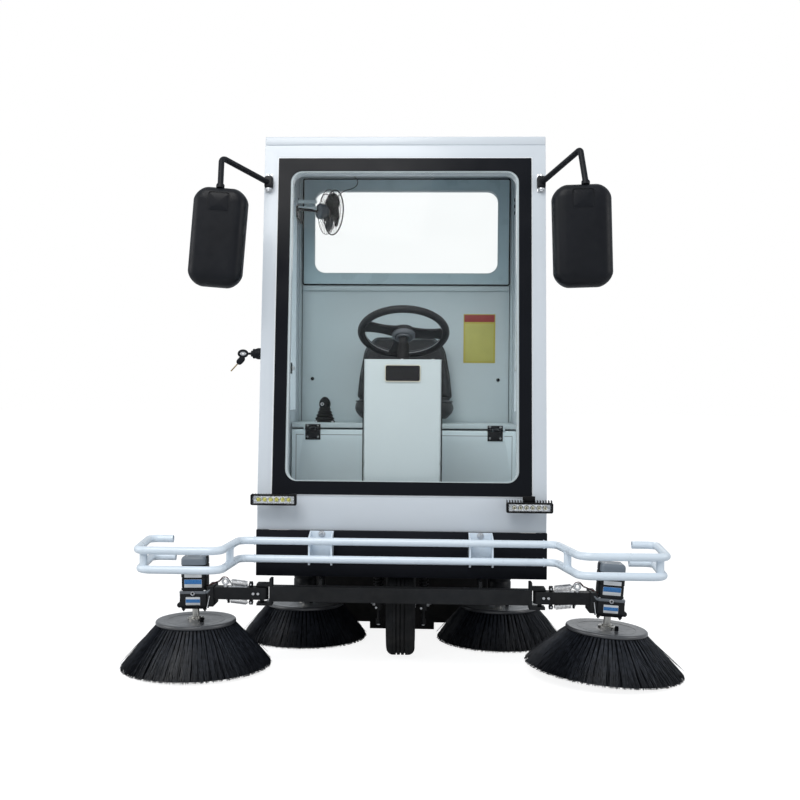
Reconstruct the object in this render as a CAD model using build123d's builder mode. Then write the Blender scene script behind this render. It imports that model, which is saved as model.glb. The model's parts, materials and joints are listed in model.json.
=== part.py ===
from build123d import *
import math
import os

# Ride-on electric floor sweeper with an enclosed cab, four side brushes and a roller brush.
# Millimetres. +Z up, the front faces -Y, +X is on the right of someone looking at the front.
# The origin is on the floor, below the middle of the machine.

os.makedirs("parts", exist_ok=True)

# ---------------------------------------------------------------- driving dimensions
overall_length = 2400.0          # bumper to rear bar
bumper_reach = 394.0             # nose plane to the bumper's foremost face
body_width = 1100.0
wall = 50.0                      # cab wall and door thickness
panel = 30.0                     # rear body wall and rear door thickness
gap = 5.0                        # clearance between pieces that move apart
swing_gap = 8.0                  # the same, in front of an edge that swings out past a thick jamb
seat_gap = 0.3                   # clearance between curved faces that rest against each other
bore_clearance = 0.05            # running clearance of an axle or pin, on the radius
floor_clearance = 2.0            # bristle tips above the floor
leaf_thick = 3.0                 # hinge leaf

nose_y = bumper_reach - overall_length / 2
half = body_width / 2
SIDES = ((-1, "left"), (1, "right"))

# cab
rail_x = 300.0
rail_wide = 60.0
rail_high = 80.0
nose_bottom = 511.0
rail_bottom = nose_bottom - rail_high
floor_thick = 19.0
floor_top = nose_bottom + floor_thick
glass_foot = 647.0               # height where the raked windscreen starts
rake_deg = 6.4
roof_front = 2044.0
roof_rise = 58.0
roof_rear = roof_front + roof_rise
roof_thick = 35.0
band_below_roof = 88.0
glass_head = roof_front - band_below_roof   # the black band's upper edge
cab_length = 1005.0
front_pillar = 56.0              # paint beside the black windscreen band
band_half = half - front_pillar
band_side = 56.0
band_foot = 53.0
band_head = 57.0
band_thick = 6.0
clear_radius = 42.0
pane = 5.0

# doors, with distances behind the nose
door_front = 78.0
rear_post = 100.0                # pillar behind the door
door_rear = cab_length - rear_post
door_sill = 545.0
door_below_roof = 59.0
door_head = roof_front - door_below_roof
door_rail = 70.0
door_belt = 960.0
hinge_radius = 9.0

# wheels
tyre_radius = 205.0
tyre_width = 112.0
rim_radius = 112.0
hub_radius = 34.0
front_wheel_back = 185.0
rear_wheel_back = 1500.0
rear_wheel_set = 120.0
rear_wheel_x = half - rear_wheel_set
axle_radius = 12.5

# brushes
outer_back = -79.0
outer_disc = 150.0
inner_x = 412.0
inner_back = 470.0
inner_tip = 262.0
inner_disc = 166.0
inner_drop = 150.0
disc_thick = 15.0
roller_back = 930.0
roller_radius = 168.0
roller_core = 70.0
roller_half = 360.0

# rear body
rear_top = 1420.0
rear_bottom = 330.0
rear_bar = 16.0
rear_start = cab_length + gap
rear_end = overall_length - bumper_reach - rear_bar

rake = math.radians(rake_deg)
glass_length = (glass_head - glass_foot) / math.cos(rake)


def behind(distance):
    """Y of a plane at this distance behind the nose."""
    return nose_y + distance


def face_y(height):
    """Y of the cab's front face at this height."""
    return nose_y + max(0.0, height - glass_foot) * math.tan(rake)


def roof_z(y):
    """Height of the roof's outer face at this Y."""
    rise = (roof_rear - roof_front) / (behind(cab_length) - face_y(roof_front))
    return roof_front + rise * (y - face_y(roof_front))


def slab(x, y, z, mode=Mode.ADD):
    """A box between two values of X, of Y and of Z."""
    with Locations(((x[0] + x[1]) / 2, (y[0] + y[1]) / 2, (z[0] + z[1]) / 2)):
        Box(abs(x[1] - x[0]), abs(y[1] - y[0]), abs(z[1] - z[0]), mode=mode)


def barrel(spans, y, z, radius):
    """Hinge knuckles round an axis along X, one for each pair of X values."""
    for low, high in spans:
        with Locations(((low + high) / 2, y, z)):
            Cylinder(radius, high - low, rotation=(0, 90, 0))


def save(piece, name):
    """Label a finished piece and write its STEP file."""
    piece.part.label = name
    export_step(piece.part, f"parts/{name}.step")


windscreen_plane = Plane(origin=(0, nose_y, glass_foot), x_dir=(1, 0, 0),
                         z_dir=(0, -math.cos(rake), math.sin(rake)))

# ---------------------------------------------------------------- chassis frame
frame_front = 6.0
member = 60.0
member_starts = (frame_front, 300.0, 700.0, 1180.0, 1640.0)
frame_end = rear_end - panel - gap
bar_tall = 70.0
bar_middle = rear_bottom - gap - bar_tall / 2
hitch_wide = 160.0               # spacing of the four hitch bolts through the rear bar
hitch_tall = 40.0
hitch_hole = 5.5

# ---------------------------------------------------------------- steering head and fork
fork_y = behind(front_wheel_back)
head_radius = 48.0
head_half = 75.0
head_plate = 20.0
stem_radius = 22.0
tyre_room = 14.0
crown_bottom = 2 * tyre_radius + tyre_room
crown_thick = 18.0
head_bottom = crown_bottom + crown_thick + seat_gap
head_top = nose_bottom - seat_gap
leg_x = 89.0
leg_radius = 13.0
foot_half = 28.0
crown_half = 26.0

with BuildPart() as chassis_frame:
    for side, _ in SIDES:
        slab((side * (rail_x - rail_wide / 2), side * (rail_x + rail_wide / 2)),
             (behind(frame_front), behind(frame_end)), (rail_bottom, nose_bottom))
    for start in member_starts:
        slab((-rail_x, rail_x), (behind(start), behind(start + member)), (rail_bottom, nose_bottom))
    outrigger = rail_x + rail_wide / 2
    for start in member_starts[1:]:
        for side, _ in SIDES:
            slab((side * outrigger, side * (half - panel)),
                 (behind(start), behind(start + member)), (nose_bottom - member / 2, nose_bottom))
    slab((-half, half), (behind(frame_end), behind(rear_end) + rear_bar),
         (rear_bottom - bar_tall - gap, rear_bottom - gap))
    for side, _ in SIDES:
        slab((side * (rail_x - rail_wide / 2), side * (rail_x + rail_wide / 2)),
             (behind(frame_end - member), behind(frame_end)), (rear_bottom - bar_tall - gap, rail_bottom))
    slab((-rail_x + rail_wide / 2, rail_x - rail_wide / 2), (fork_y - head_half, fork_y + head_half),
         (head_top - head_plate, head_top))
    with BuildSketch(Plane.XY.offset(head_bottom)):
        with Locations((0, fork_y)):
            Circle(head_radius)
    extrude(amount=head_top - head_bottom)
    with BuildSketch(Plane.XY.offset(head_bottom)):
        with Locations((0, fork_y)):
            Circle(stem_radius + bore_clearance)
    extrude(amount=head_top - head_bottom, mode=Mode.SUBTRACT)
    with BuildSketch(Plane.XZ.offset(-behind(rear_end) - rear_bar)):
        with Locations((0, bar_middle)):
            with GridLocations(hitch_wide, hitch_tall, 2, 2):
                Circle(hitch_hole)
    extrude(amount=behind(rear_end) + rear_bar - behind(frame_end), mode=Mode.SUBTRACT)
save(chassis_frame, "chassis_frame")

knob_bottom = 118.0
knob_top = 139.0
knob_radius = 11.0
rod_radius = 6.0

with BuildPart() as front_fork:
    slab((-leg_x - leg_radius, leg_x + leg_radius), (fork_y - crown_half, fork_y + crown_half),
         (crown_bottom, crown_bottom + crown_thick))
    with BuildSketch(Plane.XY.offset(crown_bottom + crown_thick)):
        with Locations((0, fork_y)):
            Circle(stem_radius)
    extrude(amount=head_top - gap - crown_bottom - crown_thick)
    for side, _ in SIDES:
        with BuildSketch(Plane.XY.offset(tyre_radius)):
            with Locations((side * leg_x, fork_y)):
                Circle(leg_radius)
        extrude(amount=crown_bottom - tyre_radius)
        slab((side * (leg_x - leg_radius), side * (leg_x + leg_radius)),
             (fork_y - foot_half, fork_y + foot_half), (tyre_radius - foot_half, tyre_radius + foot_half))
        # height of each end and radius of the spring rod and its nut below the foot
        for low, high, radius in ((knob_top, tyre_radius, rod_radius), (knob_bottom, knob_top, knob_radius)):
            with BuildSketch(Plane.XY.offset(low)):
                with Locations((side * leg_x, fork_y)):
                    Circle(radius)
            extrude(amount=high - low)
    with BuildSketch(Plane.YZ):
        with Locations((fork_y, tyre_radius)):
            Circle(axle_radius)
    extrude(amount=leg_x, both=True)
save(front_fork, "front_fork")

# ---------------------------------------------------------------- wheels
tyre_shoulder = 26.0
tyre_bead = 12.0
groove_count = 5
groove_wide = 5.0
groove_deep = 7.0
groove_pitch = 16.0
rim_edge = 12.0
web_thick = 14.0
rim_step = 4.0


def wheel(x, y, name):
    """Tyre and rim turning about an X axis at tyre height."""
    section = Plane(origin=(x, y, tyre_radius), x_dir=(1, 0, 0), z_dir=(0, -1, 0))
    spin = Axis((x, y, tyre_radius), (1, 0, 0))
    with BuildPart() as tyre:
        with BuildSketch(section) as profile:
            with Locations((0, (rim_radius + tyre_radius) / 2)):
                Rectangle(tyre_width, tyre_radius - rim_radius)
            fillet(profile.vertices().group_by(Axis.Y)[-1], radius=tyre_shoulder)
            fillet(profile.vertices().group_by(Axis.Y)[0], radius=tyre_bead)
            with GridLocations(groove_pitch, 1, groove_count, 1):
                with Locations((0, tyre_radius - groove_deep / 2)):
                    Rectangle(groove_wide, groove_deep, mode=Mode.SUBTRACT)
        revolve(axis=spin)
    save(tyre, f"{name}_tyre")
    with BuildPart() as rim:
        with BuildSketch(section):
            bore = axle_radius + bore_clearance
            rim_half = tyre_width / 2 - rim_step
            with Locations((0, rim_radius - rim_edge / 2)):
                Rectangle(2 * rim_half, rim_edge)
            with Locations((0, (bore + hub_radius) / 2)):
                Rectangle(2 * rim_half, hub_radius - bore)
            with Locations((0, (hub_radius + rim_radius - rim_edge) / 2)):
                Rectangle(web_thick, rim_radius - rim_edge - hub_radius)
        revolve(axis=spin)
    save(rim, f"{name}_rim")


wheel(0, fork_y, "front")
for side, side_name in SIDES:
    wheel(side * rear_wheel_x, behind(rear_wheel_back), f"rear_{side_name}")

# ---------------------------------------------------------------- rear axle and drive motor
beam_radius = 36.0
wheel_room = 24.0
beam_half = rear_wheel_x - tyre_width / 2 - wheel_room
stub_half = rear_wheel_x + tyre_width / 2
hanger_thick = 12.0
motor_half = 120.0
motor_deep = 150.0
motor_low = 130.0

with BuildPart() as rear_axle:
    with BuildSketch(Plane.YZ):
        with Locations((behind(rear_wheel_back), tyre_radius)):
            Circle(beam_radius)
    extrude(amount=beam_half, both=True)
    with BuildSketch(Plane.YZ):
        with Locations((behind(rear_wheel_back), tyre_radius)):
            Circle(axle_radius)
    extrude(amount=stub_half, both=True)
    for side, _ in SIDES:
        slab((side * (rail_x - hanger_thick / 2), side * (rail_x + hanger_thick / 2)),
             (behind(rear_wheel_back) - beam_radius * 2, behind(rear_wheel_back) + beam_radius * 2),
             (tyre_radius, rail_bottom))
    slab((-motor_half, motor_half),
         (behind(rear_wheel_back) - motor_deep, behind(rear_wheel_back) + motor_deep),
         (motor_low, rail_bottom - gap))
save(rear_axle, "rear_axle")

# ---------------------------------------------------------------- black front skirt and crossbeam
skirt_thick = 12.0
skirt_reach = 2.0                # how far the skirt stands out past the cab's side
skirt_half = half + skirt_reach
skirt_bottom = 336.0
skirt_return = 260.0
skirt_top = nose_bottom - seat_gap

with BuildPart() as front_skirt:
    slab((-skirt_half, skirt_half), (behind(-skirt_thick), behind(skirt_return)), (skirt_bottom, skirt_top))
    slab((-skirt_half + skirt_thick, skirt_half - skirt_thick), (behind(0), behind(skirt_return)),
         (skirt_bottom, skirt_top), mode=Mode.SUBTRACT)
save(front_skirt, "front_skirt")

beam_set = 63.0
beam_half_x = half - beam_set
beam_front = -110.0
beam_back = -60.0
beam_low = 256.0
beam_high = 311.0
lug_low = 250.0
lug_high = 340.0
lug_thick = 10.0
arm_half = (beam_back - beam_front) / 2
pivot_x = beam_half_x + gap + arm_half
pivot_back = (beam_front + beam_back) / 2
pin_radius = 8.0
lug_half = 18.0
plate_thick = 12.0
arm_low = beam_low + gap
arm_high = beam_high - gap

with BuildPart() as front_crossbeam:
    slab((-beam_half_x, beam_half_x), (behind(beam_front), behind(beam_back)), (beam_low, beam_high))
    for side, _ in SIDES:
        slab((side * (rail_x - plate_thick / 2), side * (rail_x + plate_thick / 2)),
             (behind(beam_back), behind(frame_front + member)), (beam_low, skirt_bottom - gap))
        slab((side * (rail_x - plate_thick / 2), side * (rail_x + plate_thick / 2)),
             (behind(frame_front), behind(frame_front + member)), (beam_low, rail_bottom))
        slab((side * (beam_half_x - lug_thick), side * beam_half_x),
             (behind(beam_front), behind(beam_back)), (lug_low - lug_thick, lug_high))
        for low in (lug_low - lug_thick, beam_high + seat_gap):
            slab((side * (beam_half_x - lug_thick), side * (pivot_x + lug_half)),
                 (behind(beam_front), behind(beam_back)), (low, low + lug_thick))
        with BuildSketch(Plane.XY.offset(lug_low - lug_thick)):
            with Locations((side * pivot_x, behind(pivot_back))):
                Circle(pin_radius)
        extrude(amount=beam_high + 2 * lug_thick - lug_low + seat_gap)
save(front_crossbeam, "front_crossbeam")

# ---------------------------------------------------------------- side brushes and their drives
bristle_root = 0.93              # bristle root radius as a share of the disc's radius
bristle_inner = 0.62             # inner face of the bristles as a share of the outer face
shaft_radius = 13.0
flange_radius = 32.0
flange_thick = 6.0
gear_low = 45.0                  # heights above the disc's top, along the brush's own axis
gear_high = 112.0
gear_half = 52.0
motor_side = 46.0
cap_top = 240.0
arm_plate_lift = 10.0
arm_plate_rise = 18.0
arm_plate_low = gear_low + arm_plate_lift
arm_plate_high = gear_high + arm_plate_rise
rim_round = 8.0


def brush(place, disc, tip, drop, name):
    """A disc with its bristles, hanging below a plane at the disc's top."""
    section = Plane(origin=place.origin, x_dir=place.x_dir, z_dir=-place.y_dir)
    spin = Axis(place.origin, place.z_dir)
    root = disc * bristle_root
    with BuildPart() as holder:
        with BuildSketch(section) as profile:
            with BuildLine():
                Polyline((0, 0), (disc - rim_round, 0), (disc, -rim_round), (disc, -disc_thick),
                         (0, -disc_thick), close=True)
            make_face()
        revolve(axis=spin)
        with BuildSketch(place):
            Circle(flange_radius)
        extrude(amount=flange_thick)
        with BuildSketch(place):
            Circle(shaft_radius)
        extrude(amount=gear_low - seat_gap)
        with BuildSketch(section):
            with BuildLine():
                Polyline((root * bristle_inner, -disc_thick), (root, -disc_thick), (tip, -drop),
                         (tip * bristle_inner, -drop), close=True)
            make_face()
        revolve(axis=spin)
    save(holder, f"{name}_brush")


# side, name, X of the middle, bristle tip radius, outward tilt in degrees and drop from the disc's top
# to the bristle tips of each outer brush
OUTER = ((-1, "left", 767.0, 281.0, 1.0, 174.0), (1, "right", 765.4, 291.0, 4.0, 154.0))

for side, side_name, outer_x, outer_tip, tilt, outer_drop in OUTER:
    lean = math.radians(tilt)
    top = floor_clearance + outer_drop * math.cos(lean) + outer_tip * math.sin(lean)
    place = Plane(origin=(side * outer_x, behind(outer_back), top),
                  x_dir=(math.cos(lean), 0, -side * math.sin(lean)),
                  z_dir=(side * math.sin(lean), 0, math.cos(lean)))
    brush(place, outer_disc, outer_tip, outer_drop, f"outer_{side_name}")
    with BuildPart() as drive:
        with BuildSketch(place.offset(gear_low)):
            RectangleRounded(2 * gear_half, 2 * gear_half, rim_round)
        extrude(amount=gear_high - gear_low)
        with BuildSketch(place.offset(gear_high)):
            RectangleRounded(2 * motor_side, 2 * motor_side, rim_round)
        extrude(amount=cap_top - gear_high)
    save(drive, f"outer_{side_name}_drive")
    with BuildPart() as arm:
        slab((side * pivot_x, side * (outer_x - gear_half - plate_thick)),
             (behind(beam_front), behind(beam_back)), (arm_low, arm_high))
        with BuildSketch(Plane.XY.offset(arm_low)):
            with Locations((side * pivot_x, behind(pivot_back))):
                Circle(arm_half)
        extrude(amount=arm_high - arm_low)
        with BuildSketch(Plane.XY.offset(arm_low)):
            with Locations((side * pivot_x, behind(pivot_back))):
                Circle(pin_radius + bore_clearance)
        extrude(amount=arm_high - arm_low, mode=Mode.SUBTRACT)
        with BuildSketch(place.offset(arm_plate_low)):
            with Locations((-side * (gear_half + plate_thick), 0)):
                Rectangle(2 * plate_thick, 2 * gear_half)
        extrude(amount=arm_plate_high - arm_plate_low)
    save(arm, f"brush_arm_{side_name}")

inner_motor_radius = 48.0
inner_plate = 8.0
inner_top = floor_clearance + inner_drop
for side, side_name in SIDES:
    place = Plane(origin=(side * inner_x, behind(inner_back), inner_top))
    brush(place, inner_disc, inner_tip, inner_drop, f"inner_{side_name}")

with BuildPart() as inner_motors:
    for side, _ in SIDES:
        with BuildSketch(Plane.XY.offset(inner_top + gear_low)):
            with Locations((side * inner_x, behind(inner_back))):
                Circle(inner_motor_radius)
        extrude(amount=rail_bottom - inner_plate - inner_top - gear_low)
        slab((side * (rail_x - rail_wide / 2), side * (inner_x + inner_motor_radius)),
             (behind(inner_back) - inner_motor_radius, behind(inner_back) + inner_motor_radius),
             (rail_bottom - inner_plate, rail_bottom))
save(inner_motors, "inner_motors")

# ---------------------------------------------------------------- roller brush, housing and flaps
shell_thick = 8.0
cheek_gap = 12.0
housing_room = 22.0
housing_radius = roller_radius + housing_room
housing_low = 60.0
flap_thick = 8.0
flap_low = 10.0
flap_lap = 60.0                  # how far each flap overlaps the housing's wall
centre_flap_half = 140.0
centre_flap_back = 590.0
spindle_reach = roller_half + cheek_gap + shell_thick
roller_z = roller_radius + floor_clearance

with BuildPart() as roller_brush:
    with BuildSketch(Plane.YZ):
        with Locations((behind(roller_back), roller_z)):
            Circle(roller_core)
    extrude(amount=roller_half, both=True)
    with BuildSketch(Plane.YZ):
        with Locations((behind(roller_back), roller_z)):
            Circle(axle_radius)
    extrude(amount=spindle_reach, both=True)
    with BuildSketch(Plane.YZ):
        with Locations((behind(roller_back), roller_z)):
            Circle(roller_radius)
            Circle(roller_core, mode=Mode.SUBTRACT)
    extrude(amount=roller_half - gap, both=True)
save(roller_brush, "roller_brush")

with BuildPart() as roller_housing:
    for side, _ in SIDES:
        with BuildSketch(Plane.YZ.offset(side * (roller_half + cheek_gap))):
            with Locations((behind(roller_back), (housing_low + rail_bottom) / 2)):
                Rectangle(2 * housing_radius, rail_bottom - housing_low)
            with Locations((behind(roller_back), roller_z)):
                Circle(axle_radius + bore_clearance, mode=Mode.SUBTRACT)
        extrude(amount=side * shell_thick)
    with BuildSketch(Plane.YZ):
        with Locations((behind(roller_back), (roller_z + rail_bottom) / 2)):
            Rectangle(2 * housing_radius, rail_bottom - roller_z)
        with Locations((behind(roller_back), (roller_z + rail_bottom - shell_thick) / 2)):
            Rectangle(2 * (housing_radius - shell_thick), rail_bottom - shell_thick - roller_z,
                      mode=Mode.SUBTRACT)
    extrude(amount=roller_half + cheek_gap, both=True)
save(roller_housing, "roller_housing")

with BuildPart() as rubber_flaps:
    for sign in (-1, 1):
        face = behind(roller_back + sign * housing_radius)
        slab((-roller_half, roller_half), (face, face + sign * flap_thick), (flap_low, roller_z + flap_lap))
    slab((-centre_flap_half, centre_flap_half),
         (behind(centre_flap_back), behind(centre_flap_back) + flap_thick), (flap_low, rail_bottom))
    slab((-rail_x, rail_x), (behind(centre_flap_back), behind(centre_flap_back) + flap_thick),
         (rail_bottom - flap_thick, rail_bottom))
save(rubber_flaps, "rubber_flaps")

# ---------------------------------------------------------------- cab shell
shell_rear = behind(cab_length)
hinge_above_sill = 175.0
hinge_below_head = 185.0
hinge_heights = (door_sill + hinge_above_sill, door_head - hinge_below_head)
knuckle_high = 60.0
leaf_wide = 34.0
hinge_x = half + leaf_thick + hinge_radius


def under_roof(y):
    """Height of the roof's inner face at this Y."""
    return roof_z(y) - roof_thick


with BuildPart() as cab_shell:
    front_top = roof_front - roof_thick
    with BuildSketch(Plane.YZ):
        with BuildLine():
            Polyline((nose_y, nose_bottom), (nose_y, glass_foot), (face_y(front_top), front_top),
                     (shell_rear, under_roof(shell_rear)), (shell_rear, nose_bottom), close=True)
        make_face()
    extrude(amount=half, both=True)
    with BuildSketch(Plane.YZ):
        with BuildLine():
            Polyline((nose_y + wall, nose_bottom), (nose_y + wall, glass_foot),
                     (face_y(roof_rear) + wall, roof_rear), (shell_rear, roof_rear),
                     (shell_rear, nose_bottom), close=True)
        make_face()
    extrude(amount=half - wall, both=True, mode=Mode.SUBTRACT)
    with BuildSketch(windscreen_plane.offset(wall)):
        with Locations((0, (band_foot + glass_length - band_head) / 2)):
            RectangleRounded(2 * (band_half - band_side), glass_length - band_foot - band_head, clear_radius)
    extrude(amount=-3 * wall, mode=Mode.SUBTRACT)
    with BuildSketch(Plane.YZ):
        with BuildLine():
            lean_top = door_front - swing_gap + (door_head + gap - glass_foot) * math.tan(rake)
            Polyline((behind(door_front - swing_gap), door_sill - gap),
                     (behind(door_front - swing_gap), glass_foot),
                     (behind(lean_top), door_head + gap), (behind(door_rear + gap), door_head + gap),
                     (behind(door_rear + gap), door_sill - gap), close=True)
        make_face()
    extrude(amount=half, both=True, mode=Mode.SUBTRACT)
    for side, _ in SIDES:
        for height in hinge_heights:
            for low in (height - knuckle_high - seat_gap, height + knuckle_high + seat_gap):
                slab((side * half, side * (half + leaf_thick)),
                     (behind(door_rear + gap), behind(door_rear + gap + leaf_wide)),
                     (low, low + knuckle_high))
                with BuildSketch(Plane.XY.offset(low)):
                    with Locations((side * hinge_x, behind(door_rear + gap / 2))):
                        Circle(hinge_radius)
                    with Locations((side * (hinge_x - hinge_radius / 2),
                                    behind(door_rear + gap) + hinge_radius / 2)):
                        Rectangle(hinge_radius, hinge_radius)
                extrude(amount=knuckle_high)
save(cab_shell, "cab_shell")

with BuildPart() as roof:
    with BuildSketch(Plane.YZ):
        with BuildLine():
            Polyline((face_y(front_top), front_top), (face_y(roof_front), roof_front),
                     (shell_rear, roof_rear), (shell_rear, roof_rear - roof_thick), close=True)
        make_face()
    extrude(amount=half, both=True)
save(roof, "roof")

# ---------------------------------------------------------------- rear wall and windows
rear_pillar = 65.0               # wall beside the rear window's gasket
window_half = half - rear_pillar
window_below_roof = 60.0
window_tall = 499.0
window_head = roof_rear - window_below_roof
window_foot = window_head - window_tall
gasket_wide = 55.0
window_radius = 52.0
inside = half - wall
wall_front = shell_rear - wall
rear_window_plane = Plane.XZ.offset(-wall_front)
screen_middle = (band_foot + glass_length - band_head) / 2
window_middle = (window_foot + window_head) / 2
window_clear = window_head - window_foot - 2 * gasket_wide

with BuildPart() as cab_rear_wall:
    with BuildSketch(Plane.YZ):
        with BuildLine():
            Polyline((wall_front, nose_bottom), (wall_front, under_roof(wall_front)),
                     (shell_rear, under_roof(shell_rear)), (shell_rear, nose_bottom), close=True)
        make_face()
    extrude(amount=inside, both=True)
    with BuildSketch(rear_window_plane):
        with Locations((0, window_middle)):
            RectangleRounded(2 * (window_half - gasket_wide), window_clear, window_radius)
    extrude(amount=-wall, mode=Mode.SUBTRACT)
save(cab_rear_wall, "cab_rear_wall")

# the black frit band round the windscreen and the dark gasket round the rear window
with BuildPart() as window_bands:
    with BuildSketch(windscreen_plane):
        with Locations((0, glass_length / 2)):
            Rectangle(2 * band_half, glass_length)
        with Locations((0, screen_middle)):
            RectangleRounded(2 * (band_half - band_side), glass_length - band_foot - band_head, clear_radius,
                             mode=Mode.SUBTRACT)
    extrude(amount=band_thick)
    with BuildSketch(rear_window_plane):
        with Locations((0, window_middle)):
            Rectangle(2 * window_half, window_head - window_foot)
            RectangleRounded(2 * (window_half - gasket_wide), window_clear, window_radius,
                             mode=Mode.SUBTRACT)
    extrude(amount=band_thick)
save(window_bands, "window_bands")

with BuildPart() as cab_glass:
    with BuildSketch(windscreen_plane):
        with Locations((0, screen_middle)):
            RectangleRounded(2 * (band_half - band_side), glass_length - band_foot - band_head, clear_radius)
    extrude(amount=pane)
    with BuildSketch(rear_window_plane):
        with Locations((0, window_middle)):
            RectangleRounded(2 * (window_half - gasket_wide), window_clear, window_radius)
    extrude(amount=pane)
save(cab_glass, "cab_glass")

with BuildPart() as cab_floor:
    slab((-inside, inside), (nose_y + wall, wall_front), (nose_bottom, floor_top))
save(cab_floor, "cab_floor")

# ---------------------------------------------------------------- doors
door_lean = (door_head - glass_foot) * math.tan(rake)
belt_lean = (door_belt - glass_foot) * math.tan(rake)
lock_back = 172.0
lock_z = 1187.0
lock_radius = 19.0
lock_reach = 26.0
lock_side = -1

for side, side_name in SIDES:
    door_plane = Plane.YZ.offset(side * inside)
    window_front = door_front + door_rail + belt_lean
    window_tilt = (door_head - door_rail - door_belt) * math.tan(rake)
    with BuildPart() as door:
        with BuildSketch(door_plane):
            with BuildLine():
                Polyline((behind(door_front), door_sill), (behind(door_front), glass_foot),
                         (behind(door_front + door_lean), door_head), (behind(door_rear), door_head),
                         (behind(door_rear), door_sill), close=True)
            make_face()
            with BuildLine():
                Polyline((behind(window_front), door_belt),
                         (behind(window_front + window_tilt), door_head - door_rail),
                         (behind(door_rear - door_rail), door_head - door_rail),
                         (behind(door_rear - door_rail), door_belt), close=True)
            make_face(mode=Mode.SUBTRACT)
        extrude(amount=side * wall)
        for height in hinge_heights:
            slab((side * half, side * (half + leaf_thick)),
                 (behind(door_rear - leaf_wide), behind(door_rear)), (height, height + knuckle_high))
            with BuildSketch(Plane.XY.offset(height)):
                with Locations((side * hinge_x, behind(door_rear + gap / 2))):
                    Circle(hinge_radius)
                with Locations((side * (hinge_x - hinge_radius / 2), behind(door_rear) - hinge_radius / 2)):
                    Rectangle(hinge_radius, hinge_radius)
            extrude(amount=knuckle_high)
        if side == lock_side:
            with BuildSketch(Plane.YZ.offset(side * half)):
                with Locations((behind(lock_back), lock_z)):
                    Circle(lock_radius)
            extrude(amount=side * lock_reach)
    save(door, f"door_{side_name}")
    with BuildPart() as door_glass:
        with BuildSketch(Plane.YZ.offset(side * (half - wall / 2))):
            with BuildLine():
                Polyline((behind(window_front), door_belt),
                         (behind(window_front + window_tilt), door_head - door_rail),
                         (behind(door_rear - door_rail), door_head - door_rail),
                         (behind(door_rear - door_rail), door_belt), close=True)
            make_face()
        extrude(amount=side * pane)
    save(door_glass, f"door_{side_name}_glass")


# ---------------------------------------------------------------- seat box, lid, seat and batteries
box_deep = 305.0
box_front = cab_length - wall - box_deep
box_half = inside - gap
box_wall = 20.0
box_top = 875.0
lid_low = 883.0
lid_high = 904.0
lid_half = inside - gap
battery_side = 45.0
battery_half = box_half - box_wall - battery_side
battery_high = 290.0
battery_room = 20.0

lid_hinge_x = 407.0
lid_hinge_side = 69.0
lid_barrel = 5.5
split_room = 0.5
hinge_split = lid_barrel + split_room
lid_axis_y = behind(box_front) - hinge_split
lid_axis_z = (box_top + lid_low) / 2
leaf_top = 898.0
knuckle_third = lid_hinge_side / 3


def lid_hinge(low, high, knuckles):
    """A square leaf on the front face between two heights, with its knuckles, on each side."""
    for side, _ in SIDES:
        first = side * lid_hinge_x - lid_hinge_side / 2
        slab((first, first + lid_hinge_side),
             (behind(box_front) - leaf_thick, behind(box_front)), (low, high))
        for number in knuckles:
            start = first + number * knuckle_third + seat_gap / 2
            barrel([(start, start + knuckle_third - seat_gap)], lid_axis_y, lid_axis_z, lid_barrel)
            near = low if low > lid_axis_z else high
            slab((start, start + knuckle_third - seat_gap),
                 (lid_axis_y, behind(box_front)), (lid_axis_z, near))


with BuildPart() as seat_box:
    slab((-box_half, box_half), (behind(box_front), wall_front), (floor_top, box_top))
    slab((-box_half + box_wall, box_half - box_wall), (behind(box_front) + box_wall, wall_front - box_wall),
         (floor_top, box_top), mode=Mode.SUBTRACT)
    lid_hinge(leaf_top - lid_hinge_side, lid_axis_z - hinge_split, (0, 2))
save(seat_box, "seat_box")

with BuildPart() as battery_pack:
    slab((-battery_half, battery_half),
         (behind(box_front) + box_wall + battery_room, wall_front - box_wall - battery_room),
         (floor_top, floor_top + battery_high))
save(battery_pack, "battery_pack")

with BuildPart() as seat_box_lid:
    slab((-lid_half, lid_half), (behind(box_front), wall_front - gap), (lid_low, lid_high))
    lid_hinge(lid_axis_z + hinge_split, leaf_top, (1,))
save(seat_box_lid, "seat_box_lid")

seat_low = 925.0
seat_high = 1010.0
seat_half = 224.0
seat_set = 18.0
seat_deep = 217.0
back_lap = 17.0
back_thick = 72.0
seat_front = box_front + seat_set
seat_back = seat_front + seat_deep
back_front = seat_back - back_lap
back_rear = back_front + back_thick
back_low = 1012.0
# half width and height of the backrest's outline, from its foot to its top
BACKREST = ((223.0, back_low + seat_gap), (212.0, 1116.0), (187.0, 1250.0), (138.0, 1297.0))
runner_x = 150.0
runner_half = 18.0
runner_set = 20.0
seat_corner = 50.0
seat_edge = 20.0
backrest_corner = 42.0

with BuildPart() as seat_base:
    for side, _ in SIDES:
        slab((side * (runner_x - runner_half), side * (runner_x + runner_half)),
             (behind(seat_front + runner_set), behind(back_rear)), (lid_high, seat_low))
        slab((side * (runner_x - runner_half), side * (runner_x + runner_half)),
             (behind(seat_back + gap), behind(back_rear)), (seat_low, back_low))
save(seat_base, "seat_base")

with BuildPart() as seat_cushion:
    slab((-seat_half, seat_half), (behind(seat_front), behind(seat_back)), (seat_low + seat_gap, seat_high))
    fillet(seat_cushion.edges().filter_by(Axis.Z), radius=seat_corner)
    fillet(seat_cushion.faces().sort_by(Axis.Z)[-1].edges(), radius=seat_edge)
save(seat_cushion, "seat_cushion")

with BuildPart() as seat_backrest:
    with BuildSketch(Plane.XZ.offset(-behind(back_front))):
        with BuildLine():
            Polyline(*BACKREST, *[(-x, z) for x, z in reversed(BACKREST)], close=True)
        make_face()
    extrude(amount=-(back_rear - back_front))
    fillet(seat_backrest.edges().filter_by(Axis.Y), radius=backrest_corner)
save(seat_backrest, "seat_backrest")

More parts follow.
